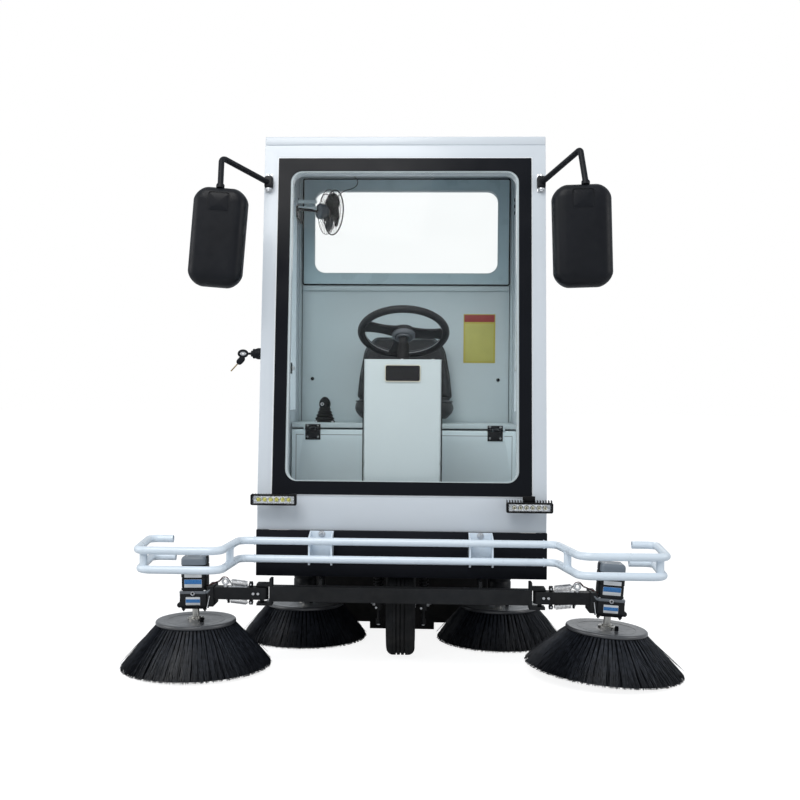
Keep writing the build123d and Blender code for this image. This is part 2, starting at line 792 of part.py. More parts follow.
lever_in = 139.0                 # the lever's distance from the cab's side wall
lever_x = lever_in - inside
lever_set = 140.0
lever_back = box_front + lever_set
boot_low_radius = 46.0
boot_top_radius = 15.0
boot_high = 1000.0
knob_high = 1020.0

with BuildPart() as lever_boot:
    with BuildSketch(Plane.XZ.offset(-behind(lever_back))):
        with BuildLine():
            Polyline((lever_x, lid_high), (lever_x + boot_low_radius, lid_high),
                     (lever_x + boot_top_radius, boot_high), (lever_x + boot_top_radius / 2, knob_high),
                     (lever_x, knob_high), close=True)
        make_face()
    revolve(axis=Axis((lever_x, behind(lever_back), 0), (0, 0, 1)))
save(lever_boot, "lever_boot")

# ---------------------------------------------------------------- steering column and wheel
column_half = 152.0
column_front = 114.0
column_rear = 264.0
column_top = 1168.0
column_round = 12.0
badge_half = 70.0
badge_low = 1080.0
badge_high = 1147.0
badge_thick = 4.0
badge_round = 14.0
hub_back = 271.0
hub_z = 1282.0
wheel_tilt = math.radians(29.0)
wheel_radius = 170.5
grip_radius = 15.5
hub_wheel_radius = 48.0
hub_thick = 34.0
spoke_turns = (3, 197, 100)
spoke_wide = 44.0
spoke_thick = 12.0
boot_start = 60.0                # along the steering axis, below the wheel's plane
boot_end = 200.0
shaft_collar = 20.0
boot_small = 22.0
boot_large = 27.0

with BuildPart() as steering_column:
    slab((-column_half, column_half), (behind(column_front), behind(column_rear)), (floor_top, column_top))
    fillet(steering_column.edges().filter_by(Axis.Z), radius=column_round)
save(steering_column, "steering_column")

with BuildPart() as badge_plate:
    slab((-badge_half, badge_half), (behind(column_front) - badge_thick, behind(column_front)),
         (badge_low, badge_high))
    fillet(badge_plate.edges().filter_by(Axis.Y), radius=badge_round)
save(badge_plate, "badge_plate")

wheel_plane = Plane(origin=(0, behind(hub_back), hub_z), x_dir=(1, 0, 0),
                    z_dir=(0, math.sin(wheel_tilt), math.cos(wheel_tilt)))

with BuildPart() as steering_boot:
    with BuildSketch(wheel_plane.offset(-boot_start)):
        Circle(boot_small)
    with BuildSketch(wheel_plane.offset(-boot_end)):
        Circle(boot_large)
    loft()
    slab((-half, half), (behind(0), behind(box_front)), (floor_top, column_top), mode=Mode.SUBTRACT)
save(steering_boot, "steering_boot")

with BuildPart() as steering_wheel:
    ring_section = Plane(origin=wheel_plane.origin, x_dir=wheel_plane.x_dir, z_dir=-wheel_plane.y_dir)
    with BuildSketch(ring_section):
        with Locations((wheel_radius, 0)):
            Circle(grip_radius)
    revolve(axis=Axis(wheel_plane.origin, wheel_plane.z_dir))
    with BuildSketch(wheel_plane.offset(-hub_thick)):
        Circle(hub_wheel_radius)
    extrude(amount=hub_thick)
    with BuildSketch(wheel_plane.offset(seat_gap - boot_start)):
        Circle(shaft_collar)
    extrude(amount=boot_start - seat_gap)
    for turn in spoke_turns:
        with BuildSketch(wheel_plane.offset(-spoke_thick)):
            with Locations(Location((0, 0, 0), (0, 0, turn))):
                with Locations((wheel_radius / 2, 0)):
                    Rectangle(wheel_radius, spoke_wide)
        extrude(amount=spoke_thick)
save(steering_wheel, "steering_wheel")

# ---------------------------------------------------------------- bumper
tube_radius = 14.0
rail_heights = (413.0, 480.0)
rail_back = -90.0
outer_rail_back = tube_radius - bumper_reach
strut_radius = 13.5
bracket_half = 45.0
bracket_x = 300.0
bracket_thick = 6.0
bracket_low = 392.0
bracket_slope = 16.0

# X and distance behind the nose of a rail's corners: from its end round the brush, then in to the middle
HOOK = ((852.0, -70.0), (942.0, -70.0), (913.0, outer_rail_back))
LEFT_BEND = ((623.0, outer_rail_back), (603.0, rail_back))
RIGHT_BEND = ((620.0, outer_rail_back), (575.0, rail_back))
RAIL_RADII = (32.0, 45.0, 50.0, 35.0)
hook_shifts = (-6.0, 4.0)        # the lower rail's ends lie a little further in than the upper rail's
# X and distance behind the nose of the struts between the two rails
STRUTS = ((-895.0, -362.0), (-613.0, -235.0), (597.0, -235.0), (895.0, -362.0))

with BuildPart() as bumper:
    for height, shift in zip(rail_heights, hook_shifts):
        left = [(-x - shift, back) for x, back in HOOK] + [(-x, back) for x, back in LEFT_BEND]
        right = [(x + shift, back) for x, back in HOOK] + list(RIGHT_BEND)
        points = [(x, behind(back), height) for x, back in left + right[::-1]]
        with BuildLine() as path:
            FilletPolyline(*points, radius=RAIL_RADII + RAIL_RADII[::-1])
        with BuildSketch(Plane(origin=path.line @ 0, z_dir=path.line % 0)):
            Circle(tube_radius)
        sweep(path=path.line)
    for x, back in STRUTS:
        with BuildSketch(Plane.XY.offset(rail_heights[0])):
            with Locations((x, behind(back))):
                Circle(strut_radius)
        extrude(amount=rail_heights[1] - rail_heights[0])
    for side, _ in SIDES:
        for face in (-bracket_half, bracket_half - bracket_thick):
            with BuildSketch(Plane.YZ.offset(side * bracket_x + face)):
                with BuildLine():
                    Polyline((behind(-skirt_thick), bracket_low), (behind(-skirt_thick), skirt_top),
                             (behind(rail_back), skirt_top - bracket_slope),
                             (behind(rail_back), bracket_low), close=True)
                make_face()
            extrude(amount=bracket_thick)
        slab((side * bracket_x - bracket_half, side * bracket_x + bracket_half),
             (behind(-skirt_thick) - bracket_thick, behind(-skirt_thick)), (bracket_low, skirt_top))
save(bumper, "bumper")

# ---------------------------------------------------------------- mirrors
mirror_depth = 66.0
mirror_round = 48.0
mirror_edge = 22.0
mirror_bulge = 16.0              # how far each side of a head bows out
mirror_crown = 8.0               # the same for its top and bottom
mirror_back = -130.0
mirror_tube = 11.0
mirror_bend_back = -70.0
mirror_bend = 26.0
mirror_socket = 16.0
clamp_set = 19.0
clamp_x = half - clamp_set
clamp_below_roof = 188.0
clamp_z = roof_front - clamp_below_roof
clamp_wide = 34.0
clamp_high = 70.0
clamp_thick = 24.0
# side, X and height of the head's middle, its lean, width and height, the arm's offset from its middle,
# and X and height above the clamp of the arm's bend
MIRRORS = ((-1, 686.0, 1606.0, -4.5, 218.0, 370.0, 4.0, 682.0, 56.0),
           (1, 655.0, 1615.0, -2.0, 232.0, 378.0, 14.0, 651.0, 85.0))

with BuildPart() as mirror_heads:
    for side, head_x, head_z, head_lean, wide, tall, _, _, _ in MIRRORS:
        lean = math.radians(head_lean)
        head = Plane(origin=(side * head_x, behind(mirror_back) - mirror_depth / 2, head_z),
                     x_dir=(math.cos(lean), 0, -side * math.sin(lean)), z_dir=(0, -1, 0))
        with BuildSketch(head) as outline:
            x = wide / 2 - mirror_bulge
            z = tall / 2 - mirror_crown
            with BuildLine():
                ThreePointArc((-x, -z), (0, -tall / 2), (x, -z))
                ThreePointArc((x, -z), (wide / 2, 0), (x, z))
                ThreePointArc((x, z), (0, tall / 2), (-x, z))
                ThreePointArc((-x, z), (-wide / 2, 0), (-x, -z))
            make_face()
            fillet(outline.vertices(), radius=mirror_round)
        extrude(amount=-mirror_depth)
    fillet(mirror_heads.faces().filter_by(Axis.Y).group_by(Axis.Y)[0].edges(), radius=mirror_edge)
save(mirror_heads, "mirror_heads")

with BuildPart() as mirror_arms:
    for side, head_x, head_z, head_lean, _, tall, foot_offset, bend_at, bend_rise in MIRRORS:
        lean = math.radians(head_lean)
        up = Vector(side * math.sin(lean), 0, math.cos(lean))
        along = Vector(side * math.cos(lean), 0, -math.sin(lean))
        foot = Vector(side * head_x, behind(mirror_back), head_z) + along * foot_offset
        foot += up * (tall / 2 + seat_gap)
        with BuildLine() as path:
            FilletPolyline((side * clamp_x, face_y(clamp_z) - clamp_thick / 2, clamp_z),
                           (side * bend_at, behind(mirror_bend_back), clamp_z + bend_rise),
                           foot + up * mirror_tube / 2, radius=mirror_bend)
        with BuildSketch(Plane(origin=path.line @ 0, z_dir=path.line % 0)):
            Circle(mirror_tube)
        sweep(path=path.line)
        with BuildSketch(Plane(origin=foot, z_dir=up)):
            Circle(mirror_socket)
        extrude(amount=mirror_tube)
        with BuildSketch(windscreen_plane):
            with Locations((side * clamp_x, (clamp_z - glass_foot) / math.cos(rake))):
                Rectangle(clamp_wide, clamp_high)
        extrude(amount=clamp_thick)
save(mirror_arms, "mirror_arms")

# ---------------------------------------------------------------- lamp bars
bar_half = 87.0
bar_high = 42.0
bar_front = -72.0
bar_rear = -26.0
lens_thick = 3.0
lens_margin = 8.0
foot_x = 24.0
foot_high = 10.0
# side, X of the middle, height of the middle
LAMP_BARS = ((-1, 479.0, 631.0), (1, 479.0, 614.0))

with BuildPart() as lamp_bars:
    for side, x, z in LAMP_BARS:
        slab((side * x - bar_half, side * x + bar_half), (behind(bar_front), behind(bar_rear)),
             (z - bar_high / 2, z + bar_high / 2))
        slab((side * x - foot_x, side * x + foot_x), (behind(bar_rear), nose_y),
             (z - bar_high / 2, z - bar_high / 2 + foot_high))
save(lamp_bars, "lamp_bars")

with BuildPart() as lamp_lenses:
    for side, x, z in LAMP_BARS:
        slab((side * x - bar_half + lens_margin, side * x + bar_half - lens_margin),
             (behind(bar_front) - lens_thick, behind(bar_front)),
             (z - bar_high / 2 + lens_margin, z + bar_high / 2 - lens_margin))
save(lamp_lenses, "lamp_lenses")

# ---------------------------------------------------------------- cab fan
fan_x = -329.0
fan_before_rear = 205.0
fan_below_roof = 187.0
fan_back = cab_length - fan_before_rear
fan_z = roof_front - fan_below_roof
fan_turn = math.radians(60.0)
guard_radius = 100.0
guard_wire = 4.0
blade_radius = 88.0
blade_thick = 3.0
blade_wide = 46.0
blade_count = 4
fan_hub = 20.0
motor_back = 30.0
fan_motor_radius = 40.0
fan_motor_length = 50.0
fan_shaft = 4.0
clip_rise = 6.0
clip_z = fan_z + clip_rise
clip_half = 34.0
clip_thick = 9.0
lead_along = 60.0                # where the lead leaves the motor, behind the guard's front ring
lead_arc = 0.45                  # share of the shorter run that each arc takes

fan_plane = Plane(origin=(fan_x, behind(fan_back), fan_z),
                  x_dir=(math.cos(fan_turn), -math.sin(fan_turn), 0),
                  z_dir=(math.sin(fan_turn), math.cos(fan_turn), 0))
fan_axis = Axis(fan_plane.origin, fan_plane.z_dir)

with BuildPart() as fan_guard:
    ring_plane = Plane(origin=fan_plane.origin, x_dir=fan_plane.x_dir, z_dir=-fan_plane.y_dir)
    with BuildSketch(ring_plane):
        with Locations((guard_radius, 0)):
            Circle(guard_wire)
    revolve(axis=fan_axis)
    with BuildSketch(fan_plane.offset(-motor_back)):
        Circle(fan_motor_radius)
    extrude(amount=-fan_motor_length)
    for turn in range(0, 360, 45):
        with BuildSketch(fan_plane.offset(-motor_back)):
            with Locations(Location((0, 0, 0), (0, 0, turn))):
                with Locations((guard_radius / 2, 0)):
                    Rectangle(guard_radius, 2 * guard_wire)
        extrude(amount=guard_wire)
    with BuildSketch(fan_plane.offset(-motor_back)):
        Circle(guard_radius + guard_wire)
        Circle(guard_radius - guard_wire, mode=Mode.SUBTRACT)
    extrude(amount=motor_back)
    motor_end = fan_plane.origin - fan_plane.z_dir * (motor_back + fan_motor_length / 2)
    slab((-inside + gap, motor_end.X), (motor_end.Y - clip_half / 2, motor_end.Y + clip_half / 2),
         (clip_z - clip_half / 2, clip_z + clip_half / 2))
    slab((-inside + gap, -inside + gap + clip_thick), (motor_end.Y, wall_front),
         (clip_z - clip_half / 2, clip_z + clip_half / 2))
save(fan_guard, "fan_guard")

# the fan's lead, from the top of its motor to the ceiling: X, distance behind the nose, height above the
# fan's middle
lead_radius = 2.0
lead_route = ((-381.0, 770.0, 65.0), (-363.0, 752.0, 78.0), (-340.0, 726.0, 63.0),
              (-323.0, 702.0, 39.0), (-306.0, 689.0, 46.0), (-285.0, 713.0, 75.0),
              (-271.0, 751.0, 93.0), (-247.0, 766.0, 99.0), (-222.0, 778.0, 116.0),
              (-217.0, 788.0, 143.0), (-244.0, 797.0, 170.0), (-266.0, 804.0, 184.0))
lead_start = fan_plane.origin - fan_plane.z_dir * lead_along
lead_end = lead_route[-1]
ceiling = under_roof(behind(lead_end[1]))
lead_points = [Vector(lead_start.X, lead_start.Y, fan_z + fan_motor_radius + seat_gap)]
lead_points += [Vector(x, behind(back), fan_z + rise) for x, back, rise in lead_route]
lead_points += [Vector(lead_end[0], behind(lead_end[1]), ceiling - seat_gap)]
lead_radii = []
for before, at, after in zip(lead_points, lead_points[1:], lead_points[2:]):
    turn = (at - before).get_angle(after - at)
    run = min((at - before).length, (after - at).length)
    lead_radii.append(lead_arc * run / math.tan(math.radians(turn / 2)))
print("fan lead arcs", [round(radius, 1) for radius in lead_radii])

with BuildPart() as fan_lead:
    with BuildLine() as path:
        FilletPolyline(*lead_points, radius=lead_radii)
    with BuildSketch(Plane(origin=path.line @ 0, z_dir=path.line % 0)):
        Circle(lead_radius)
    sweep(path=path.line)
print("fan lead length", round(path.wire().length, 1), "volume over section",
      round(fan_lead.part.volume / (math.pi * lead_radius ** 2), 1))
save(fan_lead, "fan_lead")

with BuildPart() as fan_blades:
    with BuildSketch(fan_plane.offset(-motor_back / 2)):
        Circle(fan_hub)
    extrude(amount=motor_back / 2)
    with BuildSketch(fan_plane.offset(guard_wire + seat_gap - motor_back)):
        Circle(fan_shaft)
    extrude(amount=motor_back / 2 - guard_wire)
    for number in range(blade_count):
        turn = number * 360 / blade_count
        with BuildSketch(fan_plane.offset(-motor_back / 4)):
            with Locations(Location((0, 0, 0), (0, 0, turn))):
                with Locations((blade_radius / 2, 0)):
                    Rectangle(blade_radius, blade_wide)
        extrude(amount=blade_thick)
save(fan_blades, "fan_blades")

# ---------------------------------------------------------------- rear body
arch_room = 45.0
arch_radius = tyre_radius + arch_room
lid_front = 60.0
lid_margin = 40.0
top_rim = 60.0
cover_thick = 26.0
cover_round = 10.0
door_low = 480.0
door_high = 1340.0
door_margin = 60.0
door_half = half - door_margin
tailgate_y = behind(rear_end) - panel
door_barrel = 6.0
door_axis_y = behind(rear_end) + leaf_thick + door_barrel
door_axis_z = door_high + gap / 2
door_hinge_x = 300.0
door_leaf = 36.0
cover_barrel = 8.0
barrel_gap = 1.0
cover_front = behind(rear_start) + panel + lid_front - lid_margin / 2
cover_axis_y = cover_front - cover_barrel - barrel_gap
cover_axis_z = rear_top + leaf_thick + cover_barrel
knuckle = 40.0                   # length of one knuckle of the rear door's and top cover's hinges


def outer_knuckles(x):
    """The two fixed knuckles either side of a moving one at this X."""
    return [(x - 1.5 * knuckle, x - knuckle / 2 - seat_gap), (x + knuckle / 2 + seat_gap, x + 1.5 * knuckle)]


with BuildPart() as rear_body:
    slab((-half, half), (behind(rear_start), behind(rear_end)), (rear_bottom, rear_top))
    slab((-half + panel, half - panel), (behind(rear_start) + panel, behind(rear_end) - panel),
         (rear_bottom, rear_top - panel), mode=Mode.SUBTRACT)
    slab((-half + panel + top_rim, half - panel - top_rim),
         (behind(rear_start) + panel + lid_front, behind(rear_end) - panel - lid_margin),
         (rear_top - panel, rear_top), mode=Mode.SUBTRACT)
    slab((-door_half - gap, door_half + gap), (tailgate_y, behind(rear_end)),
         (door_low - swing_gap, door_high + gap), mode=Mode.SUBTRACT)
    slab((-spindle_reach - gap, spindle_reach + gap), (behind(rear_start), behind(rear_start) + panel),
         (rear_bottom, nose_bottom + gap), mode=Mode.SUBTRACT)
    with BuildSketch(Plane.YZ):
        with Locations((behind(rear_wheel_back), tyre_radius)):
            Circle(arch_radius)
    extrude(amount=half, both=True, mode=Mode.SUBTRACT)
    for side, _ in SIDES:
        spans = outer_knuckles(side * door_hinge_x)
        barrel(spans, door_axis_y, door_axis_z, door_barrel)
        for span in spans:
            slab(span, (behind(rear_end), door_axis_y), (door_axis_z, door_axis_z + door_barrel))
            slab(span, (behind(rear_end), behind(rear_end) + leaf_thick),
                 (door_axis_z, door_axis_z + door_leaf))
        barrel(spans, cover_axis_y, cover_axis_z, cover_barrel)
        for span in spans:
            slab(span, (cover_axis_y - cover_barrel, cover_axis_y), (rear_top, cover_axis_z))
            slab(span, (cover_axis_y - door_leaf, cover_axis_y), (rear_top, rear_top + leaf_thick))
save(rear_body, "rear_body")

with BuildPart() as top_cover:
    slab((-half + panel + top_rim - lid_margin, half - panel - top_rim + lid_margin),
         (cover_front, behind(rear_end) - panel - lid_margin / 2),
         (rear_top + seat_gap, rear_top + cover_thick))
    fillet(top_cover.edges().filter_by(Axis.Z), radius=cover_round)
    for side, _ in SIDES:
        span = (side * door_hinge_x - knuckle / 2, side * door_hinge_x + knuckle / 2)
        barrel([span], cover_axis_y, cover_axis_z, cover_barrel)
        slab(span, (cover_axis_y, cover_front), (cover_axis_z, cover_axis_z + cover_barrel))
save(top_cover, "top_cover")

with BuildPart() as rear_door:
    slab((-door_half, door_half), (tailgate_y, behind(rear_end)), (door_low, door_high))
    for side, _ in SIDES:
        span = (side * door_hinge_x - knuckle / 2, side * door_hinge_x + knuckle / 2)
        barrel([span], door_axis_y, door_axis_z, door_barrel)
        slab(span, (behind(rear_end), door_axis_y), (door_axis_z - door_barrel, door_axis_z))
        slab(span, (behind(rear_end), behind(rear_end) + leaf_thick), (door_axis_z - door_leaf, door_axis_z))
save(rear_door, "rear_door")

hopper_wall = 10.0
filter_space = 150.0
hopper_room = 50.0
hopper_half = half - panel - hopper_room
hopper_low = nose_bottom + seat_gap
hopper_high = 1120.0
hopper_front = rear_start + panel + filter_space

with BuildPart() as hopper:
    slab((-hopper_half, hopper_half), (behind(hopper_front), tailgate_y - gap), (hopper_low, hopper_high))
    slab((-hopper_half + hopper_wall, hopper_half - hopper_wall),
         (behind(hopper_front) + hopper_wall, tailgate_y - gap - hopper_wall),
         (hopper_low + hopper_wall, hopper_high), mode=Mode.SUBTRACT)
save(hopper, "hopper")
lamp_inset = 4.0
lamp_low = 1180.0
lamp_high = 1320.0
lamp_thick = 14.0
with BuildPart() as tail_lamps:
    for side, _ in SIDES:
        slab((side * (half - lamp_inset), side * (door_half + swing_gap)),
             (behind(rear_end), behind(rear_end) + lamp_thick), (lamp_low, lamp_high))
save(tail_lamps, "tail_lamps")
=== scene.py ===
"""Dresses the electric floor sweeper: finishes, brushes, drives, bumper, wheels, cab trim, seat and lamps.

Metres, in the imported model's own frame: +Z up, the front faces -Y, +X on the right of someone looking at
the front. Text in mm() is in millimetres.
"""
import json
import math

import bpy
import bmesh
import numpy as np
from bpy.props import FloatProperty, FloatVectorProperty, IntProperty, PointerProperty
from mathutils import Matrix, Vector


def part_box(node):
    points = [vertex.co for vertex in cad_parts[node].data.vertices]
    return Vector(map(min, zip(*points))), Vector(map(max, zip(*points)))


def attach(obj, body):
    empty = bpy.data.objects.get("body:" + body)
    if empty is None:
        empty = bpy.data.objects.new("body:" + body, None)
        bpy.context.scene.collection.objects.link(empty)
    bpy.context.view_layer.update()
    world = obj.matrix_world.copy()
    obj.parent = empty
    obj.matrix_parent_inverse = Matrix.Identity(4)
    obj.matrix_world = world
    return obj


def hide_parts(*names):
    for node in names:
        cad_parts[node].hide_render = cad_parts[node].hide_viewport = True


bl_info = {
    "name": "Floor Sweeper Dressing",
    "version": (1, 0, 0),
    "blender": (4, 5, 0),
    "location": "View3D > Sidebar > Sweeper",
    "description": "Builds the finished pieces of a cab floor sweeper round its packed frame",
    "category": "Object",
}

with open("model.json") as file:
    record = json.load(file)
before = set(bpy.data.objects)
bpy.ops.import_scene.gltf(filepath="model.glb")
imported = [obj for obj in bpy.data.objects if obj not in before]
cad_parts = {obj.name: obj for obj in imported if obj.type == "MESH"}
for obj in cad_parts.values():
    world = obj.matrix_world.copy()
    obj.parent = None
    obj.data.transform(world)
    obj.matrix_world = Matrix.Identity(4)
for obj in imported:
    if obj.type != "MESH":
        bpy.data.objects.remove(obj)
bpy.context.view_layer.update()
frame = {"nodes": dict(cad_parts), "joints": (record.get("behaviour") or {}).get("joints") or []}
JOINTS = {joint["name"]: joint for joint in frame["joints"]}
SIDES = ((-1, "left"), (1, "right"))
RAKE = math.radians(6.4)  # lean of the cab's front from upright
SILL = 0.647  # height of the windscreen's lower edge
RIGHT, BACK, UP, FRONT, DOWN = (1, 0, 0), (0, 1, 0), (0, 0, 1), (0, -1, 0), (0, 0, -1)


# ---- places
def mm(text):
    """Rows of numbers written in millimetres, parted by commas, as tuples in metres."""
    return [tuple(float(number + "e-3") for number in row.split()) for row in text.split(",")]


def around(radius, degrees):
    """Spots on a circle at these turns."""
    return [(radius * math.cos(turn), radius * math.sin(turn)) for turn in np.radians(degrees)]


def circle(radius, sides, height=0.0):
    """Points (radius cos turn, radius sin turn, height) at equal turns."""
    turn = np.linspace(0, 2 * np.pi, sides, endpoint=False)
    return np.stack([radius * np.cos(turn), radius * np.sin(turn), 0 * turn + height], -1)


def unit(vector):
    """The vector, or each row of vectors, cut to length 1."""
    vector = np.asarray(vector, float)
    return vector / np.linalg.norm(vector, axis=-1, keepdims=True)


class Place:
    """A spot with its own axes. Points measured along them come out in the machine's frame."""

    def __init__(self, origin, along, across=BACK):
        self.origin = np.asarray(origin, float)
        self.z = unit(along)
        self.x = unit(np.cross(across, self.z))
        self.y = np.cross(self.z, self.x)

    def __call__(self, points):
        """origin + x times the x axis + y times the y axis + z times the z axis."""
        points = np.asarray(points, float)
        return self.origin + points[..., :1] * self.x + points[..., 1:2] * self.y + points[..., 2:] * self.z

    def moved(self, x=0.0, y=0.0, z=0.0):
        """The same axes at a spot this far along them."""
        place = Place(self.origin, self.z, self.y)
        place.x, place.y = self.x, self.y
        place.origin = self((x, y, z))
        return place


def hub(joint):
    """The place of a joint, with its axis as z."""
    return Place(JOINTS[joint]["pos_m"], JOINTS[joint]["axis"])


def facing(origin, along, across=RIGHT):
    """A place whose z axis points along, and whose x axis is across."""
    return Place(origin, along, np.cross(along, across))


def ends(node):
    """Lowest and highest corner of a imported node."""
    low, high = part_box(node)
    return np.array(low), np.array(high)


# ---- surfaces
def turned(profile, sides=48):
    """A profile of (radius, height) pairs turned about z: (r cos a, r sin a, h) for each turn a."""
    profile = np.asarray(profile, float)
    turn = np.linspace(0, 2 * np.pi, sides, endpoint=False)
    radius, height = profile[:, :1], profile[:, 1:]
    return np.stack([radius * np.cos(turn), radius * np.sin(turn), height + 0 * turn], -1)


def outline(half_u, half_v, corner, steps=5):
    """A rectangle with round corners: a quarter of the corner's circle about each corner's centre in turn."""
    quarter = np.arange(4)[:, None] * np.pi / 2
    angle = quarter + np.linspace(0, np.pi / 2, steps + 1)
    centre_u = (half_u - corner) * np.sign(np.cos(quarter + np.pi / 4))
    centre_v = (half_v - corner) * np.sign(np.sin(quarter + np.pi / 4))
    return np.stack([centre_u + corner * np.cos(angle), centre_v + corner * np.sin(angle)], -1).reshape(-1, 2)


def stacked(half_u, half_v, corner, profile, steps=5):
    """Round-cornered rectangles stacked along z. Each profile pair is (inset, height), and both ends close on
    the middle."""
    least = 0.0002
    rings = np.stack([outline(half_u - inset, half_v - inset, max(corner - inset, least), steps) for inset,
        _ in profile])
    heights = np.broadcast_to(np.array([height for _, height in profile])[:, None, None],
        rings.shape[:2] + (1,))
    return capped(np.concatenate([rings, heights], -1))


def capped(rows):
    """Rows of points with the middle of the first row before them and that of the last row after them."""
    middle = rows.mean(1, keepdims=True)
    return np.concatenate([middle[:1] + 0 * rows[:1], rows, middle[-1:] + 0 * rows[-1:]])


def edged(low, high, edge, steps=2):
    """The profile of a slab between two heights whose edges are quarter rounds of radius edge."""
    angle = np.linspace(0, np.pi / 2, steps + 1)
    inset = edge * (1 - np.sin(angle))
    rise = edge * (1 - np.cos(angle))
    return list(zip(inset, low + rise)) + list(zip(inset[::-1], high - rise[::-1]))


def slab(half_u, half_v, low, high, edge=0.001, corner=None):
    """A slab across z between two heights, with round edges."""
    return stacked(half_u, half_v, edge if corner is None else corner, edged(low, high, edge), 3)


def block(low, high, edge=0.001):
    """A box between two corners with round edges."""
    low, high = np.minimum(low, high), np.maximum(low, high)
    half = (high - low) / 2
    return slab(half[0], half[1], -half[2], half[2], edge) + (low + high) / 2


def ring(outer, inner, low, high, edge=0.001, steps=6):
    """A flat frame between two outlines, each (half u, half v, corner): its section is carried round."""
    rows = [(outer, edge, low), (outer, 0, low + edge), (outer, 0, high - edge), (outer, edge, high),
        (inner, -edge, high), (inner, 0, high - edge), (inner, 0, low + edge), (inner, -edge, low)]
    points = []
    for (half_u, half_v, corner), inset, height in rows:
        flat = outline(half_u - inset, half_v - inset, max(corner - inset, edge / 2), steps)
        points.append(np.concatenate([flat, np.full((len(flat), 1), height)], -1))
    return np.stack(points)


def tube(path, radius, sides=12, aside=(0.31, 0.27, 0.91), closed=False):
    """A round section carried along a path, each ring across the path's own direction. The ends close on the
    path, and aside is any direction that the path never takes."""
    path = np.asarray(path, float)
    ahead = np.roll(path, -1, -2) - np.roll(path, 1, -2) if closed else np.gradient(path, axis=-2)
    first = unit(np.cross(ahead, aside))
    second = unit(np.cross(first, ahead))
    turn = np.linspace(0, 2 * np.pi, sides, endpoint=False)[:, None]
    radius = np.asarray(radius, float)
    radius = radius[..., None, None] if radius.ndim else radius
    rings = path[..., None, :] + radius * (
        np.cos(turn) * first[..., None, :] + np.sin(turn) * second[..., None, :])
    if closed:
        return rings
    start = path[..., :1, None, :] + 0 * rings[..., :1, :, :]
    stop = path[..., -1:, None, :] + 0 * rings[..., :1, :, :]
    return np.concatenate([start, rings, stop], -3)


def bent(points, radii, steps=8):
    """Straight runs joined by tangent arcs: the centre of each arc lies on the bisector of its corner."""
    points = [np.asarray(point, float) for point in points]
    path = [points[0]]
    for before, at, after, radius in zip(points, points[1:], points[2:], radii):
        back, on = unit(before - at), unit(after - at)
        half = math.acos(np.clip(back @ on, -1, 1)) / 2
        centre = at + unit(back + on) * radius / math.sin(half)
        start = at + back * radius / math.tan(half)
        arm = start - centre
        swing = np.linspace(0, math.pi - 2 * half, steps)[:, None]
        side = unit(-back - (-back @ unit(arm)) * unit(arm)) * radius
        path.extend(centre + np.cos(swing) * arm + np.sin(swing) * side)
    path.append(points[-1])
    return np.array(path)


def coil(start, stop, radius, turns, wire, steps=14):
    """A helix between two points with straight tails on its axis, as a tube of the wire's radius."""
    start, stop = np.asarray(start, float), np.asarray(stop, float)
    place = facing(start, stop - start, np.cross(stop - start, (0.3, 0.1, 1.0)))
    count = int(turns * steps)
    share = np.linspace(0, 1, count)
    angle = 2 * np.pi * turns * share
    spread = radius * np.clip(np.minimum(share, 1 - share) * turns * 2, 0, 1)
    length = np.linalg.norm(stop - start)
    return tube(place(np.stack([spread * np.cos(angle), spread * np.sin(angle), length * share], -1)), wire,
        6)


def arc(centre, radius, low, high, steps):
    """Points on a circle of the local xy plane between two angles in degrees."""
    angle = np.radians(np.linspace(low, high, steps))
    return np.stack([centre[0] + radius * np.cos(angle), centre[1] + radius * np.sin(angle)], -1)


HEX_HEAD = [(0, 0), (1, 0), (1, 0.55), (0.86, 0.7), (0, 0.7)]
ROUND_HEAD = [(0, 0), (1, 0), (0.92, 0.3), (0.6, 0.52), (0, 0.6)]
MIDDLE = [(0, 0)]


def bolts(place, spots, radius, head=HEX_HEAD, sides=6):
    """One bolt head at each (x, y) spot of a place, standing along its z axis."""
    shape = turned(np.array(head) * radius, sides)
    spots = np.array([(x, y, 0.0) for x, y in spots])
    return place(shape + spots[:, None, None, :])


